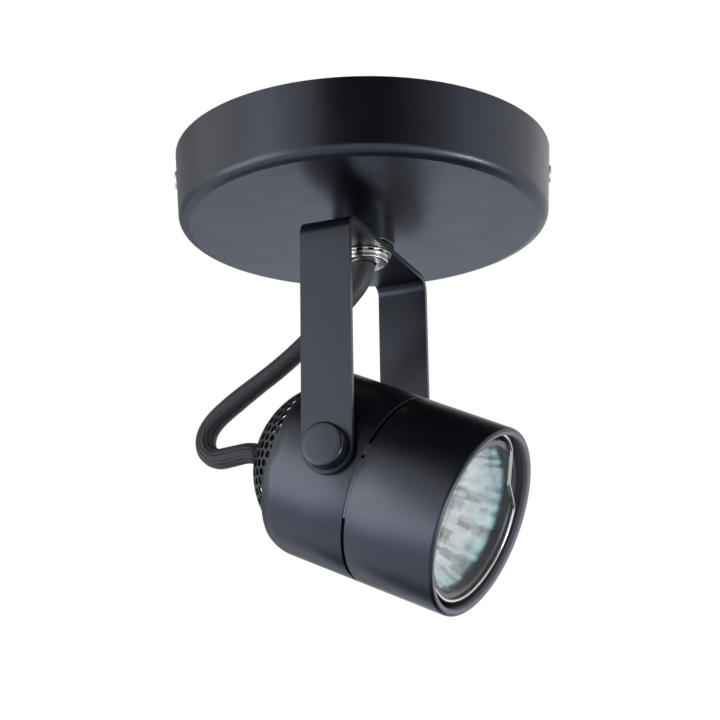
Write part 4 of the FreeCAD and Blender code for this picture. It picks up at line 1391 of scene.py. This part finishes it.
def make_floor():
    paper, tree, shader = new_finish("paper", Roughness=0.9, Specular_IOR_Level=0.1, Base_Color=paper_white)
    lit = node(tree, "ShaderNodeAddShader", {0: shader.outputs[0], 1: glow(tree, (1, 1, 1), paper_glow)})
    straight = node(tree, "ShaderNodeMixShader", {
        "Fac": node(tree, "ShaderNodeLightPath").outputs["Is Camera Ray"],
        1: glow(tree, cool_floor, cool_glow), 2: lit.outputs[0]})
    seen = node(tree, "ShaderNodeMixShader", {
        "Fac": seen_rays(tree), 1: shader.outputs[0], 2: straight.outputs[0]})
    wire(tree, tree.nodes["Material Output"], {"Surface": seen.outputs[0]})
    corners = [(x * floor_half, y * floor_half, floor_height)
               for x, y in ((-1, -1), (1, -1), (1, 1), (-1, 1))]
    return stage_sheet("floor", corners, [(0, 1, 2, 3)], paper)


bpy.context.scene.view_settings.view_transform = "Standard"
make_world()
floor = make_floor()
print("floor", floor.name, "at", floor_height)

# %% [markdown]
# Cards round the camera, and below and behind the object, give the black coat its dark middle and
# its soft edges. Each is a patch of a ball round the object that only reflections see, and through
# clear glass it is brighter, so that the lamp's bowl doesn't go dark. Their places and strengths
# were tuned against the photograph: nearly black in front, paler towards the sides.

# %% Cards
stage_middle = Vector((0, 0, -0.07))
all_round, front_heights, side_heights = range(-180, 181, 15), range(-6, 41, 6), (-20, -5, 10, 25, 36)
edge_white, side_white = (0.93, 0.95, 1.0), (0.95, 0.97, 1.0)


def toward(azimuth, height, distance):
    """A place round the object: azimuth from the front towards the right, height above the level."""
    turn, lift = math.radians(azimuth), math.radians(height)
    level = math.cos(lift)
    return Vector((math.sin(turn) * level, -math.cos(turn) * level, math.sin(lift))) * distance


def card_finish(name, colour, strength, through_glass):
    """A steady glow, with another strength behind clear glass."""
    finish = bpy.data.materials.new(name)
    finish.use_nodes = True
    tree = finish.node_tree
    tree.nodes.clear()
    path = node(tree, "ShaderNodeLightPath").outputs
    passed = node(tree, "ShaderNodeMath", {0: path["Transparent Depth"], 1: path["Transmission Depth"]},
                  operation="ADD", use_clamp=True)
    level = node(tree, "ShaderNodeMapRange", {
        "Value": passed.outputs[0], "To Min": strength, "To Max": through_glass})
    node(tree, "ShaderNodeOutputMaterial", {"Surface": glow(tree, colour, level.outputs["Result"])})
    return finish


def card(name, azimuths, heights, distance, finish):
    points = [toward(azimuth, lift, distance) + stage_middle for lift in heights for azimuth in azimuths]
    columns = len(azimuths)
    faces = []
    for row in range(len(heights) - 1):
        for column in range(columns - 1):
            here, above = row * columns + column, (row + 1) * columns + column
            faces.append((here, here + 1, above + 1, above))
    sheet = stage_sheet(name, points, faces, finish)
    sheet.visible_camera = sheet.visible_diffuse = sheet.visible_shadow = False
    sheet.visible_transmission = sheet.visible_volume_scatter = False


dark_card = card_finish("dark_card", (0.9, 0.92, 1.0), 0.012, 1.1)
edge_finish = card_finish("edge_card", edge_white, 0.16, 1.1)
cards = [  # name, azimuths, heights, distance, finish
    ("front_card", range(-4, 49, 8), front_heights, 1.6, dark_card),
    ("edge_card", (44, 52, 60), front_heights, 1.6, edge_finish),
    ("outer_card", (60, 66, 72, 78), front_heights, 1.6, card_finish("outer_card", edge_white, 0.42, 1.1)),
    ("ceiling_card", all_round, (50, 57, 65, 75, 88), 1.6, dark_card),
    ("rise_card", all_round, (36, 43, 50), 1.6, edge_finish),
    ("foot_card", range(-14, 61, 12), (-84, -76, -68, -60, -52), 0.42,
     card_finish("foot_card", cool_floor, 0.42, 0.8)),
    ("low_card", range(110, 251, 14), (-84, -74, -64, -54, -44, -35), 0.4,
     card_finish("low_card", (0.9, 0.92, 1.0), 0.06, 0.5)),
    ("right_card", range(78, 151, 8), side_heights, 1.5, card_finish("side_card", side_white, 0.85, 1.0)),
    ("left_card", range(-150, -93, 8), side_heights, 1.5,
     card_finish("left_side_card", side_white, 0.42, 1.0)),
]
for settings in cards:
    card(*settings)
print("cards", len(cards))

# %% [markdown]
# Soft boxes stand left and right, as the light bands on the canopy and the barrel show. A small
# one looks straight into the lamp's mouth, so that the bowl is bright although it isn't lit.

# %% Soft boxes
soft_boxes = [  # name, azimuth, height, distance, width, tall, power
    ("left_box", -46, -14, 0.7, 0.54, 0.48, 1.8),
    ("right_low_box", 84, -32, 0.7, 0.5, 0.24, 0.42),
    ("left_high_box", -34, 12, 0.9, 0.2, 0.3, 0.3),
    ("mouth_box", 92, -25, 0.7, 0.12, 0.12, 1.4),
]
for name, azimuth, height, distance, width, tall, power in soft_boxes:
    lamp = bpy.data.lights.new(name, "AREA")
    lamp.shape, lamp.size, lamp.size_y, lamp.energy = "RECTANGLE", width, tall, power
    holder = linked(name, lamp)
    place = toward(azimuth, height, distance)
    holder.location = stage_middle + place
    holder.rotation_euler = place.to_track_quat("Z", "Y").to_euler()
print("soft boxes", len(soft_boxes))
